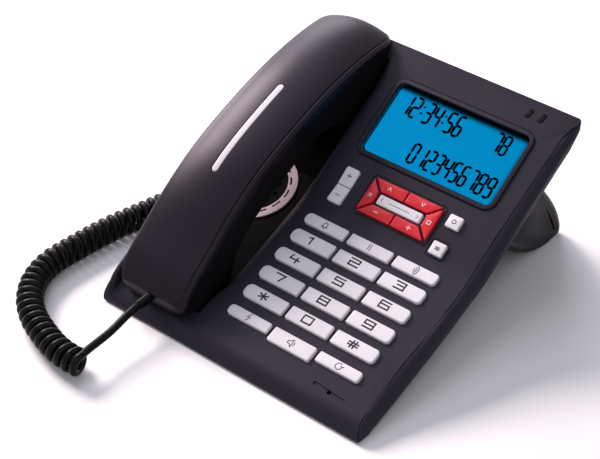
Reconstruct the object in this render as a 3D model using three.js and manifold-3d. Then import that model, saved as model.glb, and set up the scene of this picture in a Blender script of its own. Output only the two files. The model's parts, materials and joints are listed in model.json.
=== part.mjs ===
// A desk telephone with a tilted display, a keypad and a corded handset.
// Millimetres, +Z up, +Y to the rear, the origin on the table under the middle of the telephone.
import * as THREE from 'three';
import { mergeVertices } from 'three/addons/utils/BufferGeometryUtils.js';
import Module from 'manifold-3d';

const wasm = await Module();
wasm.setup();

// Clearances
const gap = 0.3;
const overrun = 20;
const overcut = 2;

// Widths from left to right: a margin, the cradle pan, a gap, the keypad and a margin
const leftMargin = 8.2;
const panClearance = 2.2;
const panToKeys = 12.7;
const rightMargin = 20.5;

// Body
const bodyFront = -103.5;
const bodyRear = 88.5;
const cornerRadius = 6;
const keypadTilt = THREE.MathUtils.degToRad(17.5);
const displayTilt = THREE.MathUtils.degToRad(30.5);
const foldY = -3.6;
const foldZ = 38.4;
const foldRadius = 60;
const noseRadius = 13;
const skirtDepth = 7.5;
const rearLip = 3.5;
const rearLipRun = 10;
const wall = 2.5;
const rearRim = 6.5;
const frontLift = 1.2;
const sideCurveShares = [[0, 0.97], [0.06, 0.948], [0.15, 0.928], [0.24, 0.942], [0.42, 0.962],
  [0.6, 0.966], [0.82, 0.972], [0.93, 0.986], [1, 1]];

// Tray of the bottom casing
const trayWall = 2.2;
const trayLeftInset = 7.6;
const trayRightInset = 15.7;
const trayFrontInset = 6.5;
const trayRearInset = 9.5;
const speakerRoom = 4;
const flangeDepth = 4.8;

// Cradle pan
const lipRun = 10;
const panFlat = 19.7;
const panDepth = 10;
const pocketDepth = 11;
const pocketLead = 22;
const pocketRamp = 5;

// Keys
const keyRise = 1.8;
const keyClearance = 0.3;
const keyTravel = 1.2;
const keyEdge = 0.5;
const keyCorner = 0.9;
const keyEndRadius = 3.4;
const flangeWidth = 0.7;
const flangeThickness = 1;
const columns = 3;
const keyWidth = 27.4;
const keyHeight = 8.6;
const columnGap = 2.4;
const rowPitch = 14;
const firstRow = -17.2;
const upperKeyHeight = 7.2;
const upperKeyGap = 4.6;
const lowerKeyHeight = 6.4;
const lowerKeyGap = 6.6;
const middleLowerKeyHeight = 9;

// Programming cluster, placed from the keypad's middle line
const clusterX = 1.2;
const clusterY = 18.7;
const clusterWidth = 45.3;
const clusterHeight = 21.7;
const clusterBand = 6.6;
const clusterSplit = 0.9;
const barWidth = 28.3;
const barHeight = 5.9;
const rockerX = -35.6;
const rockerY = 17.1;
const rockerWidth = 8.8;
const rockerLength = 22.5;
const smallKeyWidth = 8.4;
const smallKeyHeight = 7.7;
const smallKeyX = 32.9;
const upperSmallKeyY = 25;
const lowerSmallKeyY = 7.9;
const pivotRadius = 0.8;
const pivotReach = 1.2;
const rockerClearance = 0.4;
const valley = 0.7;

// Display
const windowX = 1.8;
const windowY = 63.4;
const windowInset = 0.8;
const windowHeight = 45.1;
const windowCorner = 4;
const windowThickness = 2;
const bezelMargin = 2.8;
const bezelLip = 1.1;
const panelMargin = 1.5;
const panelThickness = 4;
const indicatorY = 98.5;
const indicatorX = 39.3;
const indicatorPitch = 8;
const indicatorRadius = 1.4;

// Boards and mats
const matThickness = 1.5;
const boardThickness = 1.6;
const boardMargin = 2.5;
const foldMargin = 2.5;
const matMargin = 0.7;
const matOverlap = 2;
const displayBoardEnd = 70;
const ribThickness = 1.2;

// Loudspeaker and its ring
const ringShift = 7;
const speakerSetback = 0.5;
const ringRadius = 24;
const ringWidth = 5.5;
const ringRecess = 1;
const ringRise = 0.9;
const ringSlotWidth = 1.1;
const ringSlotInset = 3.9;
const ringSlotCount = 14;
const ringSlotShare = 0.62;
const speakerRadius = 17;
const speakerThickness = 3.8;
const grilleHoleRadius = 1.6;
const grilleCircle = 8;
const grilleCount = 6;

// Hands-free microphone
const slotX = 33.5;
const slotDrop = 8.4;
const slotLength = 21;
const slotWidth = 2.6;
const slotDepth = 1;
const slotTurn = THREE.MathUtils.degToRad(-4.5);
const soundHoleRadius = 1.1;
const microphoneRadius = 3;
const microphoneThickness = 3;

// Hook
const plungerWidth = 7;
const plungerLength = 4;
const plungerTravel = 4;

// Handset
const handsetHalfWidth = 23.8;
const handsetSetback = 5.5;
const handsetLength = 190;
const earDepth = 12.5;
const handsetWall = 2.2;
const handsetEdge = 2.6;
const partingDrop = 6.5;
const handsetCrown = 5.8;
const crownRunShare = 0.35;
const sliceShares = [0, 0.3, 0.6, 0.85];
const backShares = [[0, 0.13], [0.042, 0.25], [0.121, 0.387], [0.226, 0.555], [0.358, 0.717],
  [0.516, 0.85], [0.674, 0.948], [0.832, 1], [0.947, 0.997], [0.99, 0.955], [1, 0.9]];
const gripShares = [[0.959, 0.575], [0.897, 0.645], [0.817, 0.68], [0.71, 0.667], [0.57, 0.608],
  [0.336, 0.487], [0.149, 0.348], [0.076, 0.25], [0.036, 0.14]];
const earFrontShare = 0.758;
const earRearShare = 0.945;
const mouthRun = 7.35;
const partingShare = 0.085;
const lipClearance = 1.2;
const mitreShare = 0.5;
const stripWidth = 3.6;
const stripFrontShare = 0.287;
const stripRearShare = 0.597;
const stripRecess = 1.2;
const receiverRadius = 14;
const receiverThickness = 6;
const soundHolePitch = 5;

// Stand and feet
const standInset = 12.7;
const standFront = 36;
const standReach = 102.9;
const standWall = 3;
const footRadius = 6;
const footThickness = 2;
const footInset = 30.2;
const footSetback = 13;
const standShares = [[0.052, 0.526], [0.142, 0.414], [0.336, 0.224], [0.575, 0.069], [0.8, 0], [0.979, 0],
  [1, 0.034], [1, 0.103], [0.889, 0.362], [0.755, 0.569], [0.65, 0.759]];
const standHollowShares = [[0.02, 1.1], [0.09, 0.54], [0.19, 0.43], [0.36, 0.26], [0.58, 0.12], [0.8, 0.052],
  [0.94, 0.052], [0.87, 0.3], [0.72, 0.53], [0.62, 0.7], [0.585, 1.1]];

// Jacks, plugs and cord
const jackY = -31;
const jackRise = 9.1;
const jackWidth = 11;
const jackHeight = 8.6;
const jackDepth = 14;
const jackWall = 1.5;
const plugDepth = 9;
const bootLength = 9;
const bootRadius = 2.7;
const lineJackX = 13.8;
const jackClearance = 0.6;
const jackFloor = 3.7;
const cordRadius = 1.6;
const coilRadius = 7.6;
const coilPitch = 4.4;
const coilSteps = 8;
const coilSides = 5;
const plugZ = 16.2;
const neckRadius = 1.9;
const neckLength = 8;

// Screws
const screwHeadRadius = 2.7;
const screwHead = 0.8;
const screwRadius = 1.25;
const screwLength = 5.5;
const bossRadius = 3;
const panScrewInset = 10;
const panScrewRun = 28;
const frontScrewX = 20;
const frontScrewInset = 7;
const rearScrewX = 52;
const rearScrewRun = 42.2;

const casingMaterial = new THREE.MeshStandardMaterial({ color: 0x2b2630, roughness: 0.42 });
const darkMaterial = new THREE.MeshStandardMaterial({ color: 0x1b1a1d, roughness: 0.5 });
const silverMaterial = new THREE.MeshStandardMaterial({ color: 0xcfcad3, roughness: 0.35, metalness: 0.3 });
const redMaterial = new THREE.MeshStandardMaterial({ color: 0xb01c24, roughness: 0.4 });
const glassMaterial = new THREE.MeshStandardMaterial({ color: 0x9fd4ee, roughness: 0.08 });
const screenMaterial = new THREE.MeshStandardMaterial({ color: 0x1292cf, roughness: 0.3 });
const boardMaterial = new THREE.MeshStandardMaterial({ color: 0x1f6a3a, roughness: 0.6 });
const rubberMaterial = new THREE.MeshStandardMaterial({ color: 0x3b3b3d, roughness: 0.9 });
const steelMaterial = new THREE.MeshStandardMaterial({ color: 0x9a9a9c, roughness: 0.35, metalness: 0.9 });
const cordMaterial = new THREE.MeshStandardMaterial({ color: 0x141416, roughness: 0.45 });

// Places that follow from the sizes above
const keypadWidth = columns * keyWidth + (columns - 1) * columnGap;
const columnPitch = keyWidth + columnGap;
const windowWidth = keypadWidth - 2 * windowInset;
const panWidth = 2 * (handsetHalfWidth + panClearance);
const bodyHalfWidth = (leftMargin + panWidth + panToKeys + keypadWidth + rightMargin) / 2;
const panLeft = leftMargin - bodyHalfWidth;
const panRight = panLeft + panWidth;
const handsetX = (panLeft + panRight) / 2;
const deckX = bodyHalfWidth - rightMargin - keypadWidth / 2;
const trayLeft = trayLeftInset - bodyHalfWidth;
const trayRight = bodyHalfWidth - trayRightInset;
const trayFront = bodyFront + trayFrontInset;
const trayRear = bodyRear - trayRearInset;
const handsetFront = bodyFront + handsetSetback;
const handsetRear = handsetFront + handsetLength;
const earFront = handsetFront + earFrontShare * handsetLength;
const earRear = handsetFront + earRearShare * handsetLength;
const panFront = handsetFront + lipRun;
const panKnee = panFront + panFlat;
const mouthRear = panKnee + mouthRun;
const panFloor = keypadHeight(panKnee, panDepth);
const pocketFront = earFront - pocketLead;
const handsetBase = panFloor + gap;
const handsetTop = displayHeight(handsetRear, pocketDepth) + earDepth;
const highest = handsetTop + overrun;
const reach = bodyHalfWidth + overrun;
const panelDepth = wall + gap + panelThickness;
const lineJackZ = displayHeight(trayRear - jackDepth, panelDepth) - jackHeight / 2 - jackClearance;
const trayRearHeight = lineJackZ - jackHeight / 2 - jackFloor;

const phone = new THREE.Group();
const keypad = new THREE.Group();
const display = new THREE.Group();
keypad.position.set(deckX, foldY, foldZ);
keypad.rotation.x = keypadTilt;
display.position.set(deckX, foldY, foldZ);
display.rotation.x = displayTilt;
phone.add(keypad, display);
phone.updateMatrixWorld(true);

// Solids and meshes
function solidOf(geometry, matrix = new THREE.Matrix4()) {
  const copy = geometry.clone().applyMatrix4(matrix);
  copy.deleteAttribute('normal');
  copy.deleteAttribute('uv');
  const merged = mergeVertices(copy);
  return new wasm.Manifold(new wasm.Mesh({
    numProp: 3,
    vertProperties: new Float32Array(merged.attributes.position.array),
    triVerts: new Uint32Array(merged.index.array),
  }));
}

function geometryOf(solid) {
  const mesh = solid.getMesh();
  const geometry = new THREE.BufferGeometry();
  geometry.setAttribute('position', new THREE.BufferAttribute(mesh.vertProperties, 3));
  geometry.setIndex(new THREE.BufferAttribute(mesh.triVerts, 1));
  geometry.computeVertexNormals();
  return geometry;
}

function addPiece(name, shape, material, parent = phone) {
  const geometry = shape.isBufferGeometry ? shape : geometryOf(shape);
  const mesh = new THREE.Mesh(geometry, material);
  mesh.name = name;
  parent.add(mesh);
  return mesh;
}

function shapeOf(points) {
  return new THREE.Shape(points.map(([x, y]) => new THREE.Vector2(x, y)));
}

function extruded(shape, low, high, curveSegments = 3) {
  const depth = high - low;
  return new THREE.ExtrudeGeometry(shape, { depth, bevelEnabled: false, curveSegments }).translate(0, 0, low);
}

// A side outline, in Y and Z, carried along X
const sideways = new THREE.Matrix4().makeBasis(
  new THREE.Vector3(0, 1, 0), new THREE.Vector3(0, 0, 1), new THREE.Vector3(1, 0, 0));

function across(points, left, right) {
  return solidOf(extruded(shapeOf(points), left, right), sideways);
}

function box(x0, x1, y0, y1, z0, z1, matrix) {
  const geometry = new THREE.BoxGeometry(x1 - x0, y1 - y0, z1 - z0);
  return solidOf(geometry.translate((x0 + x1) / 2, (y0 + y1) / 2, (z0 + z1) / 2), matrix);
}

function disc(radius, x, y, low, high, sides = 16) {
  const geometry = new THREE.CylinderGeometry(radius, radius, high - low, sides);
  return geometry.rotateX(Math.PI / 2).translate(x, y, (low + high) / 2);
}

function roundedShape(width, height, leftRadius, rightRadius = leftRadius) {
  const [x, y] = [width / 2, height / 2];
  const shape = new THREE.Shape();
  shape.moveTo(-x + leftRadius, -y);
  shape.lineTo(x - rightRadius, -y);
  shape.quadraticCurveTo(x, -y, x, -y + rightRadius);
  shape.lineTo(x, y - rightRadius);
  shape.quadraticCurveTo(x, y, x - rightRadius, y);
  shape.lineTo(-x + leftRadius, y);
  shape.quadraticCurveTo(-x, y, -x, y - leftRadius);
  shape.lineTo(-x, -y + leftRadius);
  shape.quadraticCurveTo(-x, -y, -x + leftRadius, -y);
  return shape;
}

// The deck's side outline, and the same line at a depth under it
const noseY = bodyFront + noseRadius * (1 - Math.sin(keypadTilt));
const noseZ = foldZ + (noseY - foldY) * Math.tan(keypadTilt);
const noseCentre = [noseY + noseRadius * Math.sin(keypadTilt), noseZ - noseRadius * Math.cos(keypadTilt)];
const foldRun = foldRadius * Math.tan((displayTilt - keypadTilt) / 2);
const foldCentre = [
  foldY - foldRun * Math.cos(keypadTilt) - foldRadius * Math.sin(keypadTilt),
  foldZ - foldRun * Math.sin(keypadTilt) + foldRadius * Math.cos(keypadTilt),
];
const noseSteps = 5;
const foldSteps = 4;

function keypadHeight(y, depth) {
  return foldZ + (y - foldY) * Math.tan(keypadTilt) - depth / Math.cos(keypadTilt);
}

function displayHeight(y, depth) {
  return foldZ + (y - foldY) * Math.tan(displayTilt) - depth / Math.cos(displayTilt);
}

function deckLine(depth, rear) {
  const points = [];
  for (let i = 0; i <= noseSteps; i += 1) {
    const angle = Math.PI - (i / noseSteps) * (Math.PI / 2 - keypadTilt);
    const radius = noseRadius - depth;
    points.push([noseCentre[0] + radius * Math.cos(angle), noseCentre[1] + radius * Math.sin(angle)]);
  }
  for (let i = 0; i <= foldSteps; i += 1) {
    const tilt = keypadTilt + (i / foldSteps) * (displayTilt - keypadTilt);
    const radius = foldRadius + depth;
    points.push([foldCentre[0] + radius * Math.sin(tilt), foldCentre[1] - radius * Math.cos(tilt)]);
  }
  points.push([rear, displayHeight(rear, depth)]);
  return points;
}

// The body seen from above, drawn in by a margin
function planShape(margin) {
  const length = bodyRear - bodyFront - 2 * margin;
  const radius = Math.max(cornerRadius - margin, gap);
  const side = sideCurveShares.map(([along, out]) => [
    bodyHalfWidth * out - margin, bodyFront + margin + along * length]);
  const front = side[0];
  const rear = side[side.length - 1];
  const shape = new THREE.Shape();
  shape.moveTo(-front[0] + radius, front[1]);
  shape.lineTo(front[0] - radius, front[1]);
  shape.quadraticCurveTo(front[0], front[1], front[0], front[1] + radius);
  side.slice(1, -1).forEach(([x, y]) => shape.lineTo(x, y));
  shape.lineTo(rear[0], rear[1] - radius);
  shape.quadraticCurveTo(rear[0], rear[1], rear[0] - radius, rear[1]);
  shape.lineTo(-rear[0] + radius, rear[1]);
  shape.quadraticCurveTo(-rear[0], rear[1], -rear[0], rear[1] - radius);
  side.slice(1, -1).reverse().forEach(([x, y]) => shape.lineTo(-x, y));
  shape.lineTo(-front[0], front[1] + radius);
  shape.quadraticCurveTo(-front[0], front[1], -front[0] + radius, front[1]);
  return shape;
}

const plan = (margin) => solidOf(extruded(planShape(margin), frontLift, highest));

// The cradle pan: a floor along the keypad's tilt, then a pocket along the display's
const rampFoot = pocketFront - pocketRamp;

function panOutline(growth) {
  return [
    [panFront - growth, highest],
    [panFront - growth, panFloor - growth],
    [panKnee, panFloor - growth],
    [rampFoot, keypadHeight(rampFoot, panDepth) - growth / Math.cos(keypadTilt)],
    [pocketFront, displayHeight(pocketFront, pocketDepth + growth)],
    [bodyRear + overrun, displayHeight(bodyRear + overrun, pocketDepth + growth)],
    [bodyRear + overrun, highest],
  ];
}

const underDeck = (depth) => across([
  ...deckLine(depth, bodyRear + overrun), [bodyRear + overrun, -overrun], [bodyFront + depth, -overrun],
], -reach, reach);

// Top casing
const slabLine = deckLine(skirtDepth, bodyRear - rearLipRun);
const slab = across([
  ...deckLine(0, bodyRear), [bodyRear, displayHeight(bodyRear, 0) - rearLip], ...slabLine.reverse(),
], -reach, reach);
const cavity = across([
  ...deckLine(wall, bodyRear - rearRim), [bodyRear - rearRim, -overrun], [bodyFront + wall, -overrun],
], -reach, reach).intersect(plan(wall).add(box(
  -bodyHalfWidth + cornerRadius + wall, bodyHalfWidth - cornerRadius - wall,
  bodyFront + wall + cornerRadius, bodyRear - rearRim, -overrun, wall)));
const panVoid = across(panOutline(0), panLeft, panRight);
const liner = across(panOutline(wall), panLeft - wall, panRight + wall)
  .intersect(underDeck(0)).intersect(plan(0));
let casing = slab.intersect(plan(0)).subtract(cavity).add(liner);

// Bottom casing: a flange that closes the skirt, and a tray that hangs from it
const speakerDepth = panDepth + wall + gap + speakerThickness;
const speakerBack = rampFoot - speakerSetback;
const speakerRun = speakerBack - foldY - speakerDepth * Math.sin(keypadTilt);
const ringY = speakerRun / Math.cos(keypadTilt) - speakerRadius;
const trayUnderSpeaker = keypadHeight(speakerBack, speakerDepth) - speakerRoom;
const traySlope = (trayRearHeight - trayUnderSpeaker) / (trayRear - speakerBack);
const trayKnee = speakerBack - (trayUnderSpeaker - frontLift) / traySlope;
const trayAngle = Math.atan(traySlope);
const trayUnder = (y) => frontLift + Math.max(0, y - trayKnee) * traySlope;
const flangeRear = bodyRear - rearRim - gap;
const flangeLow = deckLine(flangeDepth + trayWall, flangeRear);
const flange = across([...deckLine(flangeDepth, flangeRear), ...flangeLow.reverse()], -reach, reach)
  .intersect(plan(wall + gap));
const middleDepth = flangeDepth + trayWall / 2;
const rearMiddle = displayHeight(trayRear, middleDepth);
const trayTop = deckLine(middleDepth, trayRear).slice(noseSteps);
const tray = across([
  [trayFront, frontLift], [trayKnee, frontLift], [trayRear, trayRearHeight], [trayRear, rearMiddle],
  ...trayTop.slice(0, -1).reverse(), [trayFront, keypadHeight(trayFront, middleDepth)],
], trayLeft, trayRight).intersect(plan(wall + gap));
const hollowKnee = trayKnee - trayWall * Math.tan(trayAngle / 2);
const hollow = across([
  [trayFront + trayWall, frontLift + trayWall],
  [hollowKnee, frontLift + trayWall],
  [trayRear - trayWall, trayUnder(trayRear - trayWall) + trayWall / Math.cos(trayAngle)],
  [trayRear - trayWall, highest],
  [trayFront + trayWall, highest],
], trayLeft + trayWall, trayRight - trayWall);
const linerRoom = across(panOutline(wall + gap), -reach, panRight + wall + gap);
let base = flange.add(tray).subtract(hollow).subtract(linerRoom);

// Keys: a cap through the deck, with a flange under it that keeps it in
const keyBottom = -wall - gap - flangeThickness;

function keyGeometry(shape) {
  return new THREE.ExtrudeGeometry(shape, {
    depth: keyRise - keyBottom - 2 * keyEdge, bevelThickness: keyEdge, bevelSize: keyEdge,
    bevelOffset: -keyEdge, bevelSegments: 1, curveSegments: 2,
  }).translate(0, 0, keyBottom + keyEdge);
}

function addKey(name, frame, x, y, width, height, leftRadius, rightRadius, material = silverMaterial) {
  const place = frame.matrixWorld.clone().multiply(new THREE.Matrix4().makeTranslation(x, y, 0));
  const cap = solidOf(keyGeometry(roundedShape(width, height, leftRadius, rightRadius)));
  const [brimX, brimY] = [width / 2 + flangeWidth, height / 2 + flangeWidth];
  const brim = box(-brimX, brimX, -brimY, brimY, keyBottom, keyBottom + flangeThickness);
  const hole = roundedShape(width + 2 * keyClearance, height + 2 * keyClearance,
    leftRadius + keyClearance, rightRadius + keyClearance);
  casing = casing.subtract(solidOf(extruded(hole, -wall - overcut, keyRise, 2), place));
  addPiece(name, cap.add(brim), material, frame).position.set(x, y, 0);
}

// Keypad: a row of wide keys, four rows of numbered keys and a last row
const lowerKeyTop = firstRow - 3 * rowPitch - keyHeight - lowerKeyGap;
const keypadEnd = lowerKeyTop - middleLowerKeyHeight;
const keyRows = [
  { names: ['1', '2', '3'], top: firstRow, heights: [keyHeight, keyHeight, keyHeight] },
  { names: ['4', '5', '6'], top: firstRow - rowPitch, heights: [keyHeight, keyHeight, keyHeight] },
  { names: ['7', '8', '9'], top: firstRow - 2 * rowPitch, heights: [keyHeight, keyHeight, keyHeight] },
  { names: ['star', '0', 'hash'], top: firstRow - 3 * rowPitch, heights: [keyHeight, keyHeight, keyHeight] },
  {
    names: ['upper_left', 'upper_middle', 'upper_right'],
    top: firstRow + upperKeyGap + upperKeyHeight,
    heights: [upperKeyHeight, upperKeyHeight, upperKeyHeight],
  },
  {
    names: ['lower_left', 'lower_middle', 'lower_right'],
    top: lowerKeyTop,
    heights: [lowerKeyHeight, middleLowerKeyHeight, lowerKeyHeight],
  },
];
keyRows.forEach(({ names, top, heights }) => names.forEach((name, column) => {
  const x = (column - (columns - 1) / 2) * columnPitch;
  const y = top - heights[column] / 2;
  const leftRadius = column === 0 ? keyEndRadius * heights[column] / keyHeight : keyCorner;
  const rightRadius = column === columns - 1 ? keyEndRadius * heights[column] / keyHeight : keyCorner;
  addKey(`key_${name}`, keypad, x, y, keyWidth, heights[column], leftRadius, rightRadius);
}));

// Programming cluster: six mitred keys in a ring
const clusterFrame = new THREE.Group();
clusterFrame.position.set(clusterX, clusterY, 0);
display.add(clusterFrame);
clusterFrame.updateMatrixWorld(true);
const [ringHalfX, ringHalfY] = [clusterWidth / 2, clusterHeight / 2];

function mitredOutline(kind, margin) {
  const split = clusterSplit / 2 - margin;
  const out = margin;
  const innerX = ringHalfX - clusterBand - margin;
  const innerY = ringHalfY - clusterBand - margin;
  if (kind === 'side') {
    return [
      [ringHalfX + out, -ringHalfY + split * 2 - out], [ringHalfX + out, ringHalfY - split * 2 + out],
      [innerX, innerY + margin - split * 2 + margin], [innerX, -innerY - margin + split * 2 - margin],
    ];
  }
  return [
    [split, ringHalfY + out], [split, innerY], [innerX + margin - split * 2 + margin, innerY],
    [ringHalfX - split * 2 + out, ringHalfY + out],
  ];
}

function mirrored(points, flipX, flipY) {
  const moved = points.map(([x, y]) => [flipX ? -x : x, flipY ? -y : y]);
  return flipX === flipY ? moved : moved.reverse();
}

const clusterKeys = [
  ['key_ring_right', 'side', false, false], ['key_ring_left', 'side', true, false],
  ['key_ring_top_right', 'top', false, false], ['key_ring_top_left', 'top', true, false],
  ['key_ring_bottom_right', 'top', false, true], ['key_ring_bottom_left', 'top', true, true],
];
clusterKeys.forEach(([name, kind, flipX, flipY]) => {
  const points = mirrored(mitredOutline(kind, 0), flipX, flipY);
  const room = mirrored(mitredOutline(kind, keyClearance), flipX, flipY);
  const hole = extruded(shapeOf(room), -wall - overcut, keyRise);
  addPiece(name, solidOf(keyGeometry(shapeOf(points))), redMaterial, clusterFrame);
  casing = casing.subtract(solidOf(hole, clusterFrame.matrixWorld));
});

// Two rockers, each on a pivot pin under the deck
function rockerSolid(width, length) {
  const outline = [
    [-length / 2, keyBottom], [0, keyBottom - gap], [length / 2, keyBottom],
    [length / 2, keyRise], [0, keyRise - valley], [-length / 2, keyRise],
  ];
  const body = solidOf(extruded(shapeOf(outline), -width / 2, width / 2));
  const pin = new THREE.CylinderGeometry(pivotRadius, pivotRadius, width + 2 * pivotReach, 10)
    .rotateX(Math.PI / 2).translate(0, -wall - gap - pivotRadius, 0);
  return body.add(solidOf(pin));
}

function addRocker(name, x, y, width, length, turn) {
  const stand = new THREE.Matrix4().makeRotationX(Math.PI / 2);
  const place = new THREE.Matrix4().makeTranslation(x, y, 0)
    .multiply(new THREE.Matrix4().makeRotationZ(turn));
  const hole = box(
    -length / 2 - rockerClearance, length / 2 + rockerClearance,
    -width / 2 - keyClearance, width / 2 + keyClearance,
    -wall - overcut, keyRise, display.matrixWorld.clone().multiply(place));
  casing = casing.subtract(hole);
  const geometry = geometryOf(rockerSolid(width, length)).applyMatrix4(stand);
  const mesh = addPiece(name, geometry, silverMaterial, display);
  mesh.position.set(x, y, 0);
  mesh.rotation.z = turn;
}

addRocker('bar_rocker', clusterX, clusterY, barHeight, barWidth, 0);
addRocker('side_rocker', rockerX, rockerY, rockerWidth, rockerLength, Math.PI / 2);
[['key_small_upper', upperSmallKeyY], ['key_small_lower', lowerSmallKeyY]].forEach(([name, y]) => {
  addKey(name, display, smallKeyX, y, smallKeyWidth, smallKeyHeight, keyCorner, keyCorner);
});

// Display window in a raised bezel, over the panel
const windowPlace = display.matrixWorld.clone()
  .multiply(new THREE.Matrix4().makeTranslation(windowX, windowY, 0));
const bezel = roundedShape(
  windowWidth + 2 * bezelMargin, windowHeight + 2 * bezelMargin, windowCorner + bezelMargin);
const opening = roundedShape(windowWidth + 2 * gap, windowHeight + 2 * gap, windowCorner + gap);
casing = casing.add(solidOf(extruded(bezel, -wall / 2, bezelLip), windowPlace))
  .subtract(solidOf(extruded(opening, -wall - overcut, bezelLip + gap), windowPlace));
const pane = extruded(roundedShape(windowWidth, windowHeight, windowCorner), -windowThickness, 0);
addPiece('display_window', pane, glassMaterial, display).position.set(windowX, windowY, 0);
const panelHalf = [windowWidth / 2 + panelMargin, windowHeight / 2 + panelMargin];
addPiece('display_panel', box(-panelHalf[0], panelHalf[0], -panelHalf[1], panelHalf[1],
  -wall - gap - panelThickness, -wall - gap), screenMaterial, display).position.set(windowX, windowY, 0);

// Indicators beside the rear edge
[-1, 1].forEach((side) => {
  const x = indicatorX + side * indicatorPitch / 2;
  const hole = disc(indicatorRadius + gap / 2, x, indicatorY, -wall - overcut, keyRise, 12);
  casing = casing.subtract(solidOf(hole, display.matrixWorld));
  const name = side < 0 ? 'indicator_left' : 'indicator_right';
  addPiece(name, disc(indicatorRadius, x, indicatorY, -wall - gap, gap, 12), glassMaterial, display);
});

// Ribs that hold the keypad's mat down, the mats and the boards
const matTop = keyBottom - keyTravel - gap;
const boardTop = matTop - matThickness - gap;
const boardHalfWidth = keypadWidth / 2 + boardMargin;
const boardEnd = keypadEnd - boardMargin;
const matHalfWidth = boardHalfWidth - matMargin;
const firstRib = firstRow - keyHeight - (rowPitch - keyHeight) / 2;
const ribs = [firstRib, firstRib - 2 * rowPitch];
ribs.forEach((y) => {
  casing = casing.add(box(-matHalfWidth, matHalfWidth, y - ribThickness / 2, y + ribThickness / 2,
    matTop + gap, -wall / 2, keypad.matrixWorld));
});
addPiece('keypad_mat', box(-matHalfWidth, matHalfWidth, boardEnd + matMargin, -foldMargin,
  matTop - matThickness, matTop), rubberMaterial, keypad);
addPiece('cluster_mat', box(-matHalfWidth, matHalfWidth, lowerSmallKeyY - smallKeyHeight / 2 - matMargin,
  clusterY + clusterHeight / 2 + matOverlap, matTop - matThickness, matTop), rubberMaterial, display);
let displayBoard = box(
  -boardHalfWidth, boardHalfWidth, foldMargin, displayBoardEnd, boardTop - boardThickness, boardTop);
addPiece('keypad_board', box(-boardHalfWidth, boardHalfWidth, boardEnd, -foldMargin,
  boardTop - boardThickness, boardTop), boardMaterial, keypad);

// Loudspeaker under the pan, with its slotted ring on the pan's floor
const panFrame = new THREE.Group();
panFrame.position.set(handsetX - ringShift - deckX, ringY, -panDepth);
keypad.add(panFrame);
panFrame.updateMatrixWorld(true);

function ringSolid(inner, outer, low, high, sides) {
  const shape = new THREE.Shape().absarc(0, 0, outer, 0, 2 * Math.PI, false);
  shape.holes.push(new THREE.Path().absarc(0, 0, inner, 0, 2 * Math.PI, true));
  return solidOf(extruded(shape, low, high, sides));
}

function arcSlot(radius, width, from, to) {
  const shape = new THREE.Shape().absarc(0, 0, radius + width / 2, from, to, false);
  shape.absarc(0, 0, radius - width / 2, to, from, true);
  return solidOf(extruded(shape, -overrun, overrun, 2));
}

const ringSides = 24;
const panSpan = (margin) => box(panLeft + margin, panRight - margin, -reach, reach, -overrun, highest);
let ring = ringSolid(ringRadius - ringWidth, ringRadius, -ringRecess + gap, ringRise, ringSides);
const slotRadius = ringRadius - ringSlotInset;
for (let i = 0; i < ringSlotCount; i += 1) {
  const start = (i / ringSlotCount) * 2 * Math.PI;
  const sweep = (ringSlotShare / ringSlotCount) * 2 * Math.PI;
  ring = ring.subtract(arcSlot(slotRadius, ringSlotWidth, start, start + sweep));
}
const ringInPan = solidOf(geometryOf(ring), panFrame.matrixWorld).intersect(panSpan(gap));
addPiece('speaker_ring', geometryOf(ringInPan), silverMaterial);
casing = casing.subtract(solidOf(geometryOf(ringSolid(
  ringRadius - ringWidth - gap, ringRadius + gap, -ringRecess, overrun, ringSides)), panFrame.matrixWorld)
  .intersect(panSpan(0)));
for (let i = 0; i <= grilleCount; i += 1) {
  const turn = (i / grilleCount) * 2 * Math.PI;
  const away = i === grilleCount ? 0 : grilleCircle;
  const hole = disc(grilleHoleRadius, away * Math.cos(turn), away * Math.sin(turn), -2 * wall, wall, 8);
  casing = casing.subtract(solidOf(hole, panFrame.matrixWorld));
}
addPiece('loudspeaker', disc(speakerRadius, 0, 0, -wall - gap - speakerThickness, -wall - gap, 28),
  darkMaterial, panFrame);

// Hands-free microphone behind a slot in the front
const slotY = keypadEnd - slotDrop;
const slotPlace = keypad.matrixWorld.clone().multiply(new THREE.Matrix4().makeTranslation(slotX, slotY, 0))
  .multiply(new THREE.Matrix4().makeRotationZ(slotTurn));
casing = casing.subtract(solidOf(extruded(
  roundedShape(slotLength, slotWidth, slotWidth / 3), -slotDepth, overrun), slotPlace))
  .subtract(solidOf(disc(soundHoleRadius, 0, 0, -2 * wall, wall, 10), slotPlace));
const capsule = disc(microphoneRadius, slotX, slotY, -wall - gap - microphoneThickness, -wall - gap);
addPiece('base_microphone', capsule, steelMaterial, keypad);

// Hook plunger through the pocket's floor, held down by the handset
const earY = (earFront + earRear) / 2;
const plungerY = (earY - foldY - pocketDepth * Math.sin(displayTilt)) / Math.cos(displayTilt);
const hookFrame = new THREE.Group();
hookFrame.position.set(handsetX - deckX, plungerY, -pocketDepth);
display.add(hookFrame);
hookFrame.updateMatrixWorld(true);
const brimTop = -wall - plungerTravel - gap;
const plungerHalf = [plungerWidth / 2, plungerLength / 2];
casing = casing.subtract(box(-plungerHalf[0] - gap, plungerHalf[0] + gap, -plungerHalf[1] - gap,
  plungerHalf[1] + gap, -2 * wall, wall, hookFrame.matrixWorld));
addPiece('hook_plunger', box(-plungerHalf[0], plungerHalf[0], -plungerHalf[1], plungerHalf[1], brimTop, 0)
  .add(box(-plungerHalf[0] - flangeWidth - gap, plungerHalf[0] + flangeWidth + gap,
    -plungerHalf[1], plungerHalf[1], brimTop - flangeThickness, brimTop)), darkMaterial, hookFrame);

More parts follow.
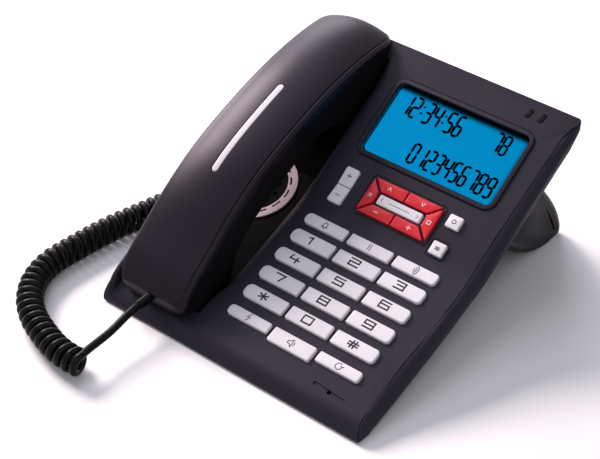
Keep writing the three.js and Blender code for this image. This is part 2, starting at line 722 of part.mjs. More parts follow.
// Screws up through the tray into bosses of the top casing
const trayFlat = (x, y) => new THREE.Matrix4().makeTranslation(x, y, frontLift);
const traySlant = (x, y) => new THREE.Matrix4().makeTranslation(x, y, trayUnder(y))
  .multiply(new THREE.Matrix4().makeRotationX(trayAngle));
const screwPlaces = [
  ['screw_front_left', trayFlat(panRight - panScrewInset, panFront + panScrewRun)],
  ['screw_front_right', trayFlat(frontScrewX, trayFront + frontScrewInset)],
  ['screw_rear', traySlant(rearScrewX, foldY + rearScrewRun)],
];
const headRoom = screwHead + gap;
screwPlaces.forEach(([name, place]) => {
  const boss = solidOf(disc(bossRadius, 0, 0, trayWall + gap, 3 * overrun), place);
  casing = casing.add(boss.intersect(underDeck(wall / 2)))
    .subtract(solidOf(disc(screwRadius + gap / 2, 0, 0, 0, screwLength + gap, 12), place));
  base = base.subtract(solidOf(disc(screwHeadRadius + gap, 0, 0, -overrun, headRoom), place))
    .subtract(solidOf(disc(screwRadius + gap, 0, 0, 0, 2 * trayWall, 12), place));
  const inBoard = display.matrixWorld.clone().invert().multiply(place);
  displayBoard = displayBoard.subtract(solidOf(disc(bossRadius + gap, 0, 0, 0, 3 * overrun), inBoard));
  const screw = solidOf(disc(screwHeadRadius, 0, 0, 0, screwHead))
    .add(solidOf(disc(screwRadius, 0, 0, 0, screwLength, 12)));
  const mesh = addPiece(name, screw, steelMaterial);
  mesh.applyMatrix4(place);
});
addPiece('display_board', displayBoard, boardMaterial, display);

// Stand: a hollow lobe under the rear, open to the tray above
const standTop = (y) => trayUnder(y) - gap / Math.cos(trayAngle);
const standHalfWidth = bodyHalfWidth - standInset;
const standPoints = standShares.map(([along, up]) => [
  standFront + along * (standReach - standFront), up * trayRearHeight]);
standPoints.unshift([standFront, standTop(standFront)]);
standPoints.push([trayRear - gap, standTop(trayRear - gap)]);
const hollowFront = standFront + standWall;
const standHollow = standHollowShares.map(([along, up]) => [
  hollowFront + along * (standReach - hollowFront), up * trayRearHeight]);
addPiece('stand', across(standPoints, -standHalfWidth, standHalfWidth)
  .subtract(across(standHollow, -standHalfWidth + standWall, standHalfWidth - standWall)), darkMaterial);

// Front feet in their recesses
const footX = bodyHalfWidth - footInset;
const footY = trayFront + footSetback;
[-1, 1].forEach((side) => {
  const recess = solidOf(disc(footRadius + gap, side * footX, footY, 0, footThickness + gap, 20));
  base = base.subtract(recess);
  const name = side < 0 ? 'foot_left' : 'foot_right';
  addPiece(name, disc(footRadius, side * footX, footY, 0, footThickness, 20), rubberMaterial);
});

// Jacks in the tray's walls
function jackSolid() {
  const [w, h] = [jackWidth / 2, jackHeight / 2];
  return box(-w, w, 0, jackDepth, -h, h)
    .subtract(box(-w + jackWall, w - jackWall, -overrun, jackDepth - jackWall, -h + jackWall, h - jackWall));
}

const jackZ = frontLift + jackRise;
const leftWall = new THREE.Matrix4().makeTranslation(trayLeft, jackY, jackZ)
  .multiply(new THREE.Matrix4().makeRotationZ(-Math.PI / 2));
const rearWall = new THREE.Matrix4().makeTranslation(deckX + lineJackX, trayRear, lineJackZ)
  .multiply(new THREE.Matrix4().makeRotationZ(Math.PI));
const jackRoom = [jackWidth / 2 + gap, jackHeight / 2 + gap];
[['handset_jack', leftWall], ['line_jack', rearWall]].forEach(([name, place]) => {
  base = base.subtract(box(-jackRoom[0], jackRoom[0], -overcut, jackDepth + gap,
    -jackRoom[1], jackRoom[1], place));
  addPiece(name, jackSolid(), darkMaterial).applyMatrix4(place);
});

// Handset: a back shell and a face shell round one hollow
const handsetSpan = handsetTop - handsetBase;
const handsetPoint = ([along, up]) => [handsetFront + along * handsetLength, handsetBase + up * handsetSpan];
const vectors = (points) => points.map(([x, y]) => new THREE.Vector2(x, y));
const backCurve = new THREE.SplineCurve(vectors(backShares.map(handsetPoint)));
const backPoints = backCurve.getPoints(20).map(({ x, y }) => [x, y]);
const gripCurve = new THREE.SplineCurve(vectors(gripShares.map(([along, up]) => [
  mouthRear + along * (earFront - mouthRear), handsetBase + up * handsetSpan])));
const seat = gap / Math.cos(displayTilt);
const lipY = panFront + lipClearance;
const lipZ = keypadHeight(lipY, 0) + lipClearance;
const handsetOutline = [
  ...backPoints,
  [earRear, displayHeight(earRear, pocketDepth) + seat],
  [earFront, displayHeight(earFront, pocketDepth) + seat],
  ...gripCurve.getPoints(9).map(({ x, y }) => [x, y]),
  [mouthRear, keypadHeight(mouthRear, panDepth) + seat], [panKnee, panFloor + gap],
  [lipY + lipClearance, panFloor + gap], [lipY, lipZ], [handsetFront + lipClearance, lipZ],
];

// The same outline drawn in by a margin
function drawnIn(points, margin) {
  const count = points.length;
  const turned = THREE.ShapeUtils.isClockWise(vectors(points)) ? -1 : 1;
  return points.map(([x, y], i) => {
    const before = points[(i + count - 1) % count];
    const after = points[(i + 1) % count];
    const one = new THREE.Vector2(x - before[0], y - before[1]).normalize();
    const two = new THREE.Vector2(after[0] - x, after[1] - y).normalize();
    const inward = new THREE.Vector2(-one.y - two.y, one.x + two.x).normalize();
    const lengthen = Math.max(mitreShare, inward.dot(new THREE.Vector2(-one.y, one.x)));
    return [x + turned * inward.x * margin / lengthen, y + turned * inward.y * margin / lengthen];
  });
}

// How far the back rises over its side outline: most along its middle line, and nothing at the front end
function crownRise(x, y) {
  const along = (y - handsetFront) / handsetLength;
  const across = x / handsetHalfWidth;
  return handsetCrown * THREE.MathUtils.smoothstep(along, 0, crownRunShare) * (1 - across * across);
}

// The side outline carried across in slices, with its edges drawn in and its back raised to the crown
function arched(points, halfWidth, edge, edgeSteps) {
  const half = sliceShares.map((share) => [share * (halfWidth - edge), 0]);
  for (let i = 0; i <= edgeSteps; i += 1) {
    const angle = (i / edgeSteps) * (Math.PI / 2);
    half.push([halfWidth - edge + edge * Math.sin(angle), edge * (1 - Math.cos(angle))]);
  }
  const slices = [...half.slice(1).reverse().map(([x, inset]) => [-x, inset]), ...half];
  const rings = slices.map(([x, inset]) => drawnIn(points, inset).map(([y, z], i) => [
    handsetX + x, y, z + (i < backPoints.length ? crownRise(x, y) : 0)]).reverse());
  const count = points.length;
  const ends = THREE.ShapeUtils.triangulateShape(vectors(rings[0].map(([, y, z]) => [y, z])), []);
  const last = (rings.length - 1) * count;
  const faces = ends.flatMap(([a, b, c]) => [[c, b, a], [last + a, last + b, last + c]]);
  for (let ring = 0; ring < last; ring += count) {
    for (let i = 0; i < count; i += 1) {
      const next = (i + 1) % count;
      const [one, two] = [ring + i, ring + next];
      faces.push([one, two, two + count], [one, two + count, one + count]);
    }
  }
  const geometry = new THREE.BufferGeometry();
  geometry.setAttribute('position', new THREE.Float32BufferAttribute(rings.flat(2), 3));
  geometry.setIndex(faces.flat());
  return solidOf(geometry);
}

const handsetOuter = arched(handsetOutline, handsetHalfWidth, handsetEdge, 2);
const innerOutline = drawnIn(handsetOutline, handsetWall);
const handsetInner = arched(innerOutline, handsetHalfWidth - handsetWall, gap, 1);
const handsetShell = handsetOuter.subtract(handsetInner);
const partingStart = handsetBase + partingShare * handsetSpan;
const parting = [
  [handsetFront - overrun, partingStart], [handsetFront + lipClearance, partingStart],
  ...backPoints.slice(3, -3).map(([y, z]) => [y, z - partingDrop]),
];
parting.push([handsetRear + overrun, parting[parting.length - 1][1]]);
const overParting = across([
  ...parting, [handsetRear + overrun, highest], [handsetFront - overrun, highest]], -reach, reach);
const underParting = across([
  ...parting.map(([y, z]) => [y, z - gap]), [handsetRear + overrun, -overrun],
  [handsetFront - overrun, -overrun]], -reach, reach);
let handsetBack = handsetShell.intersect(overParting);
let handsetFace = handsetShell.intersect(underParting);

// A silver strip let into the back
const stripSteps = 6;
const backHeight = (y) => {
  const next = backPoints.findIndex(([along]) => along > y);
  const [[y0, z0], [y1, z1]] = [backPoints[next - 1], backPoints[next]];
  return z0 + (z1 - z0) * (y - y0) / (y1 - y0) + crownRise(0, y);
};

function backStrip(margin, low, high) {
  const from = handsetFront + stripFrontShare * handsetLength - margin;
  const to = handsetFront + stripRearShare * handsetLength + margin;
  const line = Array.from({ length: stripSteps + 1 }, (_, i) => from + (to - from) * i / stripSteps);
  const bottom = line.map((y) => [y, backHeight(y) + low]);
  const top = line.map((y) => [y, backHeight(y) + high]).reverse();
  return across([...bottom, ...top], handsetX - stripWidth / 2 - margin, handsetX + stripWidth / 2 + margin);
}

handsetBack = handsetBack.subtract(backStrip(gap, -stripRecess, overrun));
addPiece('handset_strip', backStrip(0, -stripRecess + gap, gap), silverMaterial);

// Receiver and microphone capsules behind sound holes
const earPlace = new THREE.Matrix4().makeTranslation(handsetX, earY, displayHeight(earY, pocketDepth) + seat)
  .multiply(new THREE.Matrix4().makeRotationX(displayTilt));
const mouthY = (panKnee + lipY) / 2;
const mouthPlace = new THREE.Matrix4().makeTranslation(handsetX, mouthY, panFloor + gap);
const capsuleLow = handsetWall + gap;
for (let i = 0; i < 7; i += 1) {
  const away = i === 6 ? 0 : soundHolePitch;
  const turn = (i / 6) * 2 * Math.PI;
  const hole = disc(soundHoleRadius, away * Math.cos(turn), away * Math.sin(turn), -wall, capsuleLow, 8);
  handsetFace = handsetFace.subtract(solidOf(hole, earPlace));
  handsetFace = i % 2 === 0 ? handsetFace.subtract(solidOf(hole, mouthPlace)) : handsetFace;
}
addPiece('receiver', disc(receiverRadius, 0, 0, capsuleLow, capsuleLow + receiverThickness, 24), darkMaterial)
  .applyMatrix4(earPlace);
addPiece('handset_microphone', disc(2 * microphoneRadius, 0, 0, capsuleLow, capsuleLow + microphoneThickness),
  steelMaterial).applyMatrix4(mouthPlace);

// Plugs: a strain relief outside and a neck or a body inside
const handsetEnd = new THREE.Matrix4().makeTranslation(handsetX, handsetFront, plugZ);
const lengthwise = (radius, low, high, sides) => new THREE.CylinderGeometry(radius, radius, high - low, sides)
  .translate(0, (low + high) / 2, 0);
const neckHole = solidOf(lengthwise(neckRadius + gap, -overrun, neckLength + gap, 12), handsetEnd);
handsetBack = handsetBack.subtract(neckHole);
handsetFace = handsetFace.subtract(neckHole);
addPiece('handset_plug', solidOf(lengthwise(bootRadius, -gap - bootLength, -gap, 12))
  .add(solidOf(lengthwise(neckRadius, -gap - bootLength / 2, neckLength, 12))), cordMaterial)
  .applyMatrix4(handsetEnd);
addPiece('handset_back', handsetBack, casingMaterial);
addPiece('handset_face', handsetFace, darkMaterial);
const plugHalf = [jackWidth / 2 - jackWall - gap, jackHeight / 2 - jackWall - gap];
addPiece('base_plug', box(-plugHalf[0], plugHalf[0], 0, plugDepth, -plugHalf[1], plugHalf[1])
  .add(solidOf(lengthwise(bootRadius - gap, -bootLength, plugDepth / 2, 12))), cordMaterial)
  .applyMatrix4(leftWall);

// The cord: two short plain stretches, and the curls between them lying on the table
const coilZ = coilRadius + gap;
const coilRoute = [
  [-111, -30], [-114.5, -44], [-119.2, -61.2], [-123.5, -88.5], [-124.7, -105], [-121, -120],
  [-112, -133], [-100, -142], [-86, -148], [-73, -151.8], [-62, -153],
].map(([x, y]) => new THREE.Vector3(x, y, coilZ));
const coilCurve = new THREE.CatmullRomCurve3(coilRoute, false, 'centripetal');
const coilStart = coilCurve.getPointAt(0).addScaledVector(coilCurve.getTangentAt(0), -gap);
const coilEnd = coilCurve.getPointAt(1).addScaledVector(coilCurve.getTangentAt(1), gap);
const vector = ([x, y, z]) => new THREE.Vector3(x, y, z);
const coilLead = (end, side) => coilCurve.getPointAt(end)
  .addScaledVector(coilCurve.getTangentAt(end), side * (gap + 2 * cordRadius));
const baseRoute = [
  new THREE.Vector3(trayLeft - bootLength - gap, jackY, jackZ),
  new THREE.Vector3(trayLeft - bootLength - 2 * cordRadius, jackY, jackZ),
  ...[[-98, -28.5, 9.8], [-103, -23.5, 9.2], [-107.5, -21.5, 8.6]].map(vector), coilLead(0, -1), coilStart,
];
const handsetRoute = [
  coilEnd, coilLead(1, 1), ...[[-55, -149, 8.3], [-54.4, -140, 8.8], [-55.8, -127, 11]].map(vector),
  new THREE.Vector3(handsetX, handsetFront - bootLength - 2 * cordRadius, plugZ),
  new THREE.Vector3(handsetX, handsetFront - bootLength - 2 * gap, plugZ),
];

function cordStretch(points) {
  const path = new THREE.CatmullRomCurve3(points, false, 'centripetal');
  const section = new THREE.Shape().absarc(0, 0, cordRadius, 0, 2 * Math.PI, false);
  const steps = Math.round(path.getLength() / (4 * cordRadius));
  return new THREE.ExtrudeGeometry(section, { extrudePath: path, steps, curveSegments: 8 });
}

function smooth(share) {
  const x = THREE.MathUtils.clamp(share, 0, 1);
  return x * x * (3 - 2 * x);
}

function curlyCord(curve) {
  const length = curve.getLength();
  const straight = 2 * cordRadius;
  const curls = Math.floor((length - 2 * straight) / coilPitch);
  const steps = curls * coilSteps;
  const up = new THREE.Vector3(0, 0, 1);
  const centres = [];
  const radials = [];
  for (let i = -1; i <= steps + 1; i += 1) {
    const inside = THREE.MathUtils.clamp(i, 0, steps);
    const along = i < 0 ? 0 : i > steps ? length : straight + (length - 2 * straight) * inside / steps;
    const ease = smooth(Math.min(inside, steps - inside) / coilSteps);
    const side = curve.getTangentAt(along / length).cross(up).normalize();
    const turn = 2 * Math.PI * inside / coilSteps;
    const radial = side.multiplyScalar(Math.cos(turn)).addScaledVector(up, Math.sin(turn));
    radials.push(radial);
    centres.push(curve.getPointAt(along / length).addScaledVector(radial, ease * (coilRadius - cordRadius)));
  }
  let least = Infinity;
  for (let i = 0; i < centres.length; i += 1) {
    for (let j = i + coilSteps / 2; j < centres.length; j += 1) {
      least = Math.min(least, centres[i].distanceTo(centres[j]));
    }
  }
  console.log(`curls ${curls}, cord in the curls ${Math.round(centres.slice(1).reduce(
    (sum, point, i) => sum + point.distanceTo(centres[i]), 0))} mm, least gap ${
    (least - 2 * cordRadius).toFixed(2)} mm`);
  const positions = [];
  centres.forEach((centre, i) => {
    const before = centres[Math.max(i - 1, 0)];
    const after = centres[Math.min(i + 1, centres.length - 1)];
    const tangent = after.clone().sub(before).normalize();
    const out = radials[i].clone().addScaledVector(tangent, -radials[i].dot(tangent)).normalize();
    const binormal = tangent.clone().cross(out);
    for (let j = 0; j < coilSides; j += 1) {
      const turn = 2 * Math.PI * j / coilSides;
      const point = centre.clone().addScaledVector(out, cordRadius * Math.cos(turn))
        .addScaledVector(binormal, cordRadius * Math.sin(turn));
      positions.push(point.x, point.y, point.z);
    }
  });
  const faces = [];
  const last = centres.length - 1;
  for (let i = 0; i < last; i += 1) {
    for (let j = 0; j < coilSides; j += 1) {
      const next = (j + 1) % coilSides;
      const [a, b] = [i * coilSides + j, i * coilSides + next];
      faces.push(a, b, b + coilSides, a, b + coilSides, a + coilSides);
    }
  }
  for (let j = 1; j < coilSides - 1; j += 1) {
    faces.push(0, j + 1, j, last * coilSides, last * coilSides + j, last * coilSides + j + 1);
  }
  const geometry = new THREE.BufferGeometry();
  geometry.setAttribute('position', new THREE.Float32BufferAttribute(positions, 3));
  geometry.setIndex(faces);
  return geometry;
}

addPiece('base_lead', cordStretch(baseRoute), cordMaterial);
addPiece('handset_lead', cordStretch(handsetRoute), cordMaterial);
addPiece('curly_cord', curlyCord(coilCurve), cordMaterial);

casing = casing.subtract(panVoid);
addPiece('top_casing', casing, casingMaterial);
addPiece('bottom_casing', base, darkMaterial);

export default phone;
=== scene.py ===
"""A corded desk telephone with a tilted display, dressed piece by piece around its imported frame."""

import json
from math import asin, atan, ceil, cos, pi, radians, sin, sqrt, tan

import bmesh
import bpy
from mathutils import Matrix, Vector
from mathutils.bvhtree import BVHTree
from mathutils.geometry import convex_hull_2d


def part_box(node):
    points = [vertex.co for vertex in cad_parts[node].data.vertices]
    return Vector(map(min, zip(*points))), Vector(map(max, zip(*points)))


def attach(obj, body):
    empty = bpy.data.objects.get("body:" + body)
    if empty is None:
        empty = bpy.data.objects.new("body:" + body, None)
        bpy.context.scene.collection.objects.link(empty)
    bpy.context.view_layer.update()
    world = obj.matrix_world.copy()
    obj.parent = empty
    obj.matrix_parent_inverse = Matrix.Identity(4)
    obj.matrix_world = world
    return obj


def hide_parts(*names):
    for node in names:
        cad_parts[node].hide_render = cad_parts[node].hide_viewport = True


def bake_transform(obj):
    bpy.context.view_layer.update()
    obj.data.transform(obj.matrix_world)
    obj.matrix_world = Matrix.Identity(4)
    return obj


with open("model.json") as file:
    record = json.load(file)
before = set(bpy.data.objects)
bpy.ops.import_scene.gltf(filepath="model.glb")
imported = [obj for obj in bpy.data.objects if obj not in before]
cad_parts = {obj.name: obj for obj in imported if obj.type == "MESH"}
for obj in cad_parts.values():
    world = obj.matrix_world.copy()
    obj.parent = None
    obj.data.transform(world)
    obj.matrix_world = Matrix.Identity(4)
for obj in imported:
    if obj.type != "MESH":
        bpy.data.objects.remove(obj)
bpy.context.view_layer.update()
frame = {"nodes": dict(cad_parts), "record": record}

# Camera: it stands where the photograph was taken from, at the right of the front edge and above.
# The long lens was worked out from the corners of the keypad and of the display.
def placed(name, data):
    """An object of the data, put into the scene."""
    piece = bpy.data.objects.new(name, data)
    bpy.context.scene.collection.objects.link(piece)
    return piece


camera_data = bpy.data.cameras.new("camera")
camera_data.sensor_width = 36
camera_data.lens = 101.23
camera = placed("camera", camera_data)
camera.location = (0.4280, -0.5765, 0.6125)
camera_aim = Vector((-0.4834, 0.6065, -0.6313))
camera.rotation_euler = camera_aim.to_track_quat("-Z", "Y").to_euler()
bpy.context.scene.camera = camera
bpy.context.scene.view_settings.view_transform = "Standard"


# Studio: a white paper sheet, a large soft box on the left and three dim ones, in a dim room.
# The left one is what the handset's back mirrors; the camera and every gloss see a white backdrop.
def linear(colour):
    """The scene's own colour for an sRGB hex value."""
    shares = [int(colour[i:i + 2], 16) / 255 for i in (1, 3, 5)]
    return [s / 12.92 if s <= 0.04045 else ((s + 0.055) / 1.055) ** 2.4 for s in shares] + [1]


def add(tree, kind, values=(), links=(), **settings):
    """A node with its settings, its sockets' values and its links from other sockets."""
    made = tree.nodes.new(kind)
    for name, value in settings.items():
        setattr(made, name, value)
    for socket, value in dict(values).items():
        made.inputs[socket].default_value = value
    for socket, source in dict(links).items():
        tree.links.new(source, made.inputs[socket])
    return made


def surfaced(name, kind, values):
    """A material whose surface is one shader, with its node tree and that shader."""
    material = bpy.data.materials.new(name)
    material.use_nodes = True
    tree = material.node_tree
    tree.nodes.clear()
    shader = add(tree, kind, values)
    add(tree, "ShaderNodeOutputMaterial", links={"Surface": shader.outputs[0]})
    return material, tree, shader


floor_half, floor_drop = 1.5, 0.0001
floor_mesh = bpy.data.meshes.new("floor")
floor_mesh.from_pydata([(x * floor_half, y * floor_half, -floor_drop)
                        for x, y in ((-1, -1), (1, -1), (1, 1), (-1, 1))], [], [(0, 1, 2, 3)])
floor = placed("floor", floor_mesh)
# Paper scatters light evenly, without a gloss, so it stays plain white round the shadow.
paper = surfaced("white paper sheet", "ShaderNodeBsdfDiffuse", {"Color": linear("#f4f3f5")})[0]
floor_mesh.materials.append(paper)

world = bpy.data.worlds.new("white room")
bpy.context.scene.world = world
world.use_nodes = True
tree = world.node_tree
tree.nodes.clear()
rays = add(tree, "ShaderNodeLightPath").outputs
room = add(tree, "ShaderNodeBackground", {"Color": linear("#e8e8ee"), "Strength": 0.36})
backdrop = add(tree, "ShaderNodeBackground", {"Color": linear("#ffffff"), "Strength": 1.0})
mirrored = add(tree, "ShaderNodeMath", links={0: rays["Is Glossy Ray"], 1: rays["Is Transmission Ray"]},
               operation="MAXIMUM")
seen = add(tree, "ShaderNodeMath", links={0: rays["Is Camera Ray"], 1: mirrored.outputs[0]},
           operation="MAXIMUM")
either = add(tree, "ShaderNodeMixShader", links={
    0: seen.outputs[0], 1: room.outputs[0], 2: backdrop.outputs[0]})
add(tree, "ShaderNodeOutputWorld", links={"Surface": either.outputs[0]})

soft_boxes = (
    ("left box", (-1.05, 0.16, 0.72), (0.62, 0.42), 27, "#fff1f0"),
    ("upper box", (-0.45, 0.15, 1.3), (0.8, 0.8), 4, "#eeeeff"),
    ("front box", (0.5, -0.8, 0.9), (0.5, 0.5), 2.1, "#ffffff"),
    ("rear left box", (-0.78, 0.78, 0.5), (0.5, 0.5), 5, "#f8f0ff"),
)
for name, place, size, power, colour in soft_boxes:
    lamp_data = bpy.data.lights.new(name, "AREA")
    lamp_data.shape = "RECTANGLE"
    lamp_data.size, lamp_data.size_y = size
    lamp_data.energy = power
    lamp_data.color = linear(colour)[:3]
    lamp = placed(name, lamp_data)
    lamp.location = place
    lamp.rotation_euler = (-Vector(place)).to_track_quat("-Z", "Y").to_euler()


# Curly cord: a plain stretch from the base's plug, the curls, and a plain stretch to the handset.
# It is black soft PVC, wound on a rod and set by heat, so its jacket is smooth with a wet sheen.
def settle(piece):
    """Makes what the piece's modifiers show its own mesh."""
    mesh = bpy.data.meshes.new_from_object(piece.evaluated_get(bpy.context.evaluated_depsgraph_get()))
    mesh.name = name = piece.name
    if piece.type == "MESH":
        piece.modifiers.clear()
        piece.data = mesh
        return piece
    bpy.data.objects.remove(piece)
    return placed(name, mesh)


def painted(piece, material):
    """Gives a piece one material in place of what it had."""
    piece.data.materials.clear()
    piece.data.materials.append(material)


def dressed(piece, body, slot, material, *nodes):
    """Gives a finished piece its material, the body it rides on, and the nodes it stands for."""
    painted(piece, material)
    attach(piece, body)
    if nodes:
        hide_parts(*nodes)


# Real spark grain is about 0.1 mm across. Each finish draws its grain at 0.3 to 0.8 mm so that it shows.
# Colour and gloss drift over about 30 mm, as lacquer and handling leave them.
cloud_size = 0.03


def finish(name, colour, roughness, ior=1.25, grain=0.0, grain_size=0.0003, coat=0.0, shade=None,
           tint="#ffffff", metal=0.0):
    """A material with a colour that goes cloudily to its shade, an uneven gloss and a fine grain."""
    material, tree, shader = surfaced(name, "ShaderNodeBsdfPrincipled", {
        "Base Color": linear(colour), "Metallic": metal, "Roughness": roughness, "IOR": ior,
        "Coat Weight": coat, "Coat Roughness": 0.12, "Specular Tint": linear(tint)})
    place = add(tree, "ShaderNodeTexCoord").outputs["Object"]
    noise = add(tree, "ShaderNodeTexNoise", {"Scale": 1 / cloud_size, "Detail": 3.0}, {"Vector": place})
    cloudy = {0: noise.outputs["Fac"]}
    gloss = add(tree, "ShaderNodeMapRange", {3: roughness * 0.9, 4: roughness * 1.12}, cloudy)
    tree.links.new(gloss.outputs[0], shader.inputs["Roughness"])
    mottled = add(tree, "ShaderNodeMix", {6: linear(colour), 7: linear(shade)}, cloudy, data_type="RGBA")
    tree.links.new(mottled.outputs[2], shader.inputs["Base Color"])
    if grain:
        fine = add(tree, "ShaderNodeTexNoise", {"Scale": 1 / grain_size, "Detail": 2.0}, {"Vector": place})
        bump = add(tree, "ShaderNodeBump", {"Strength": grain, "Distance": grain_size / 4},
                   {"Height": fine.outputs["Fac"]})
        tree.links.new(bump.outputs[0], shader.inputs["Normal"])
    return material


# Soft PVC has a slightly oily gloss, and dust dulls it a little.
cord_pvc = finish("soft PVC, extruded", "#040406", 0.28, 1.18, grain=0.12, grain_size=0.0008,
                  shade="#0b0b0e")
cord_radius, coil_radius, cord_lift = 0.0022, 0.0078, 0.0003
curl_count, curl_steps, cord_sides = 33.5, 20, 16
curl_points = [(x, y, coil_radius + cord_lift) for x, y in (
    (-0.1085, -0.022), (-0.1108, -0.030), (-0.1145, -0.044), (-0.1192, -0.0612), (-0.1235, -0.0885),
    (-0.1247, -0.105), (-0.121, -0.120), (-0.112, -0.133), (-0.100, -0.142), (-0.086, -0.148),
    (-0.073, -0.1518), (-0.062, -0.1527), (-0.0545, -0.1522))]
base_points = [(-0.0919, -0.031, 0.0103), (-0.0948, -0.031, 0.0102), (-0.0985, -0.0285, 0.0078),
               (-0.1035, -0.0238, 0.0036)]
handset_points = [(-0.0548, -0.1465, 0.0138), (-0.0553, -0.130, 0.0136), (-0.0558, -0.1165, 0.0155),
                  (-0.056, -0.1102, 0.0162), (-0.056, -0.1076, 0.0162)]


def smooth_line(points, step):
    """Points about a step apart on a smooth line through the given ones."""
    points = [Vector(p) for p in points]
    padded = [2 * points[0] - points[1], *points, 2 * points[-1] - points[-2]]
    line = []
    for a, b, c, d in zip(padded, padded[1:], padded[2:], padded[3:]):
        knots = [0]
        for one, two in ((a, b), (b, c), (c, d)):
            knots.append(knots[-1] + sqrt((two - one).length))
        t0, t1, t2, t3 = knots
        count = max(1, round((c - b).length / step))
        for i in range(count):
            t = t1 + (t2 - t1) * i / count
            ab = a.lerp(b, (t - t0) / (t1 - t0))
            bc = b.lerp(c, (t - t1) / (t2 - t1))
            cd = c.lerp(d, (t - t2) / (t3 - t2))
            line.append(ab.lerp(bc, (t - t0) / (t2 - t0)).lerp(bc.lerp(cd, (t - t1) / (t3 - t1)),
                                                              (t - t1) / (t2 - t1)))
    return [*line, points[-1]]


def spaced(start, end, steps):
    """Evenly spaced values from a start to an end."""
    return [start + (end - start) * i / steps for i in range(steps + 1)]


def wound(line, radius, curls, steps):
    """The centre line of a cord that winds round a line, from the floor's side to the top."""
    along = [0]
    for one, two in zip(line, line[1:]):
        along.append(along[-1] + (two - one).length)
    up = Vector((0, 0, 1))
    centres = []
    place = 0
    for i, wanted in enumerate(spaced(0, along[-1], round(curls * steps))):
        while along[place + 1] < wanted and place < len(line) - 2:
            place += 1
        share = (wanted - along[place]) / (along[place + 1] - along[place])
        axis = (line[place + 1] - line[place]).normalized()
        angle = 2 * pi * i / steps - pi / 2
        out = axis.cross(up).normalized() * cos(angle) + up * sin(angle)
        centres.append(line[place].lerp(line[place + 1], share) + out * radius)
    return centres


def run(name, points):
    """A curve object of one open line through the points."""
    curve = bpy.data.curves.new(name, "CURVE")
    curve.dimensions = "3D"
    spline = curve.splines.new("POLY")
    spline.points.add(len(points) - 1)
    for point, place in zip(spline.points, points):
        point.co = (*place, 1)
    return placed(name, curve)


def group(name, **sockets):
    """A geometry node tree with a geometry input and output and the named inputs."""
    tree = bpy.data.node_groups.new(name, "GeometryNodeTree")
    tree.interface.new_socket("Geometry", in_out="INPUT", socket_type="NodeSocketGeometry")
    tree.interface.new_socket("Geometry", in_out="OUTPUT", socket_type="NodeSocketGeometry")
    for socket, kind in sockets.items():
        tree.interface.new_socket(socket, in_out="INPUT", socket_type=kind)
    return tree, add(tree, "NodeGroupInput").outputs


def ended(tree, shape, material):
    """Ends a tree in real geometry with a material."""
    real = add(tree, "GeometryNodeRealizeInstances", links={"Geometry": shape})
    coloured = add(tree, "GeometryNodeSetMaterial", links={
        "Geometry": real.outputs[0], "Material": material})
    add(tree, "NodeGroupOutput", links={"Geometry": coloured.outputs[0]})


def grown(piece, tree, **inputs):
    """Runs a tree on a piece, sets its inputs by their identifiers, and keeps the result as a mesh."""
    modifier = piece.modifiers.new(tree.name, "NODES")
    modifier.node_group = tree
    for item in tree.interface.items_tree:
        if item.item_type == "SOCKET" and item.in_out == "INPUT" and item.name in inputs:
            modifier[item.identifier] = inputs[item.name]
    return settle(piece)


jacket, sockets = group("round jacket", Radius="NodeSocketFloat", Sides="NodeSocketInt",
                        Material="NodeSocketMaterial")
section = add(jacket, "GeometryNodeCurvePrimitiveCircle", links={
    "Resolution": sockets["Sides"], "Radius": sockets["Radius"]})
tube = add(jacket, "GeometryNodeCurveToMesh", {"Fill Caps": True}, {
    "Curve": sockets["Geometry"], "Profile Curve": section.outputs[0]})
ended(jacket, tube.outputs[0], sockets["Material"])


def smoothed(piece, angle=radians(35)):
    """Shades a mesh smooth, but for its sharp edges."""
    piece.data.shade_smooth()
    piece.data.set_sharp_from_angle(angle=angle)
    return piece


coil_axis = smooth_line(curl_points, cord_radius)
coil_line = wound(coil_axis, coil_radius - cord_radius, curl_count, curl_steps)
base_line = smooth_line([*base_points, coil_line[0]], cord_radius / 2)
handset_line = smooth_line([coil_line[-1], *handset_points], cord_radius / 2)
coiled_path = [*base_line, *coil_line[1:]]
for name, path, exit_point, far_end, lay, plug, nodes in (
    ("curly_cord_coiled", coiled_path, base_points[0], "object", "coiled", "base_plug",
     ("base_lead", "curly_cord")),
    ("curly_cord_end", handset_line, handset_line[0], "plug", "loose", "handset_plug", ("handset_lead",)),
):
    piece = grown(run(name, path), jacket, Radius=cord_radius, Sides=cord_sides, Material=cord_pvc)
    painted(smoothed(piece), cord_pvc)
    if lay == "loose":
        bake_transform(piece)
    else:
        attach(piece, "base")
    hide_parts(*nodes)
for node in ("base_plug", "handset_plug"):
    painted(frame["nodes"][node], cord_pvc)


# Top casing: one wedge of ABS, with a keypad deck, a steeper display deck and a cradle pan.
# It is moulded with a fine spark grain and painted in a satin aubergine that goes lilac in light.
keypad_tilt = radians(17.5)
display_tilt = radians(30.5)
fold = Vector((0.0262, -0.0036, 0.0384))
keypad_frame = Matrix.Translation(fold) @ Matrix.Rotation(keypad_tilt, 4, "X")
display_frame = Matrix.Translation(fold) @ Matrix.Rotation(display_tilt, 4, "X")
half_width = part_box("top_casing")[1].x
body_front, body_rear, corner, least_corner = -0.1035, 0.0885, 0.0025, 0.0003
fold_radius, nose_radius = 0.060, 0.013
skirt, wall, front_lift = 0.0075, 0.0025, 0.0012
rear_lip, rear_lip_run, rear_rim = 0.0035, 0.010, 0.0065
side_shares = ((0, 0.968), (0.06, 0.977), (0.16, 0.984), (0.26, 0.987), (0.36, 0.989), (0.5, 0.984),
               (0.6, 0.987), (0.82, 0.991), (0.93, 0.994), (1, 1))
pan_left, pan_right, pan_front = -0.082, -0.030, -0.088
pan_depth, pocket_depth = 0.010, 0.011
pan_knee, pocket_front, pocket_ramp = -0.0683, 0.02402, 0.005
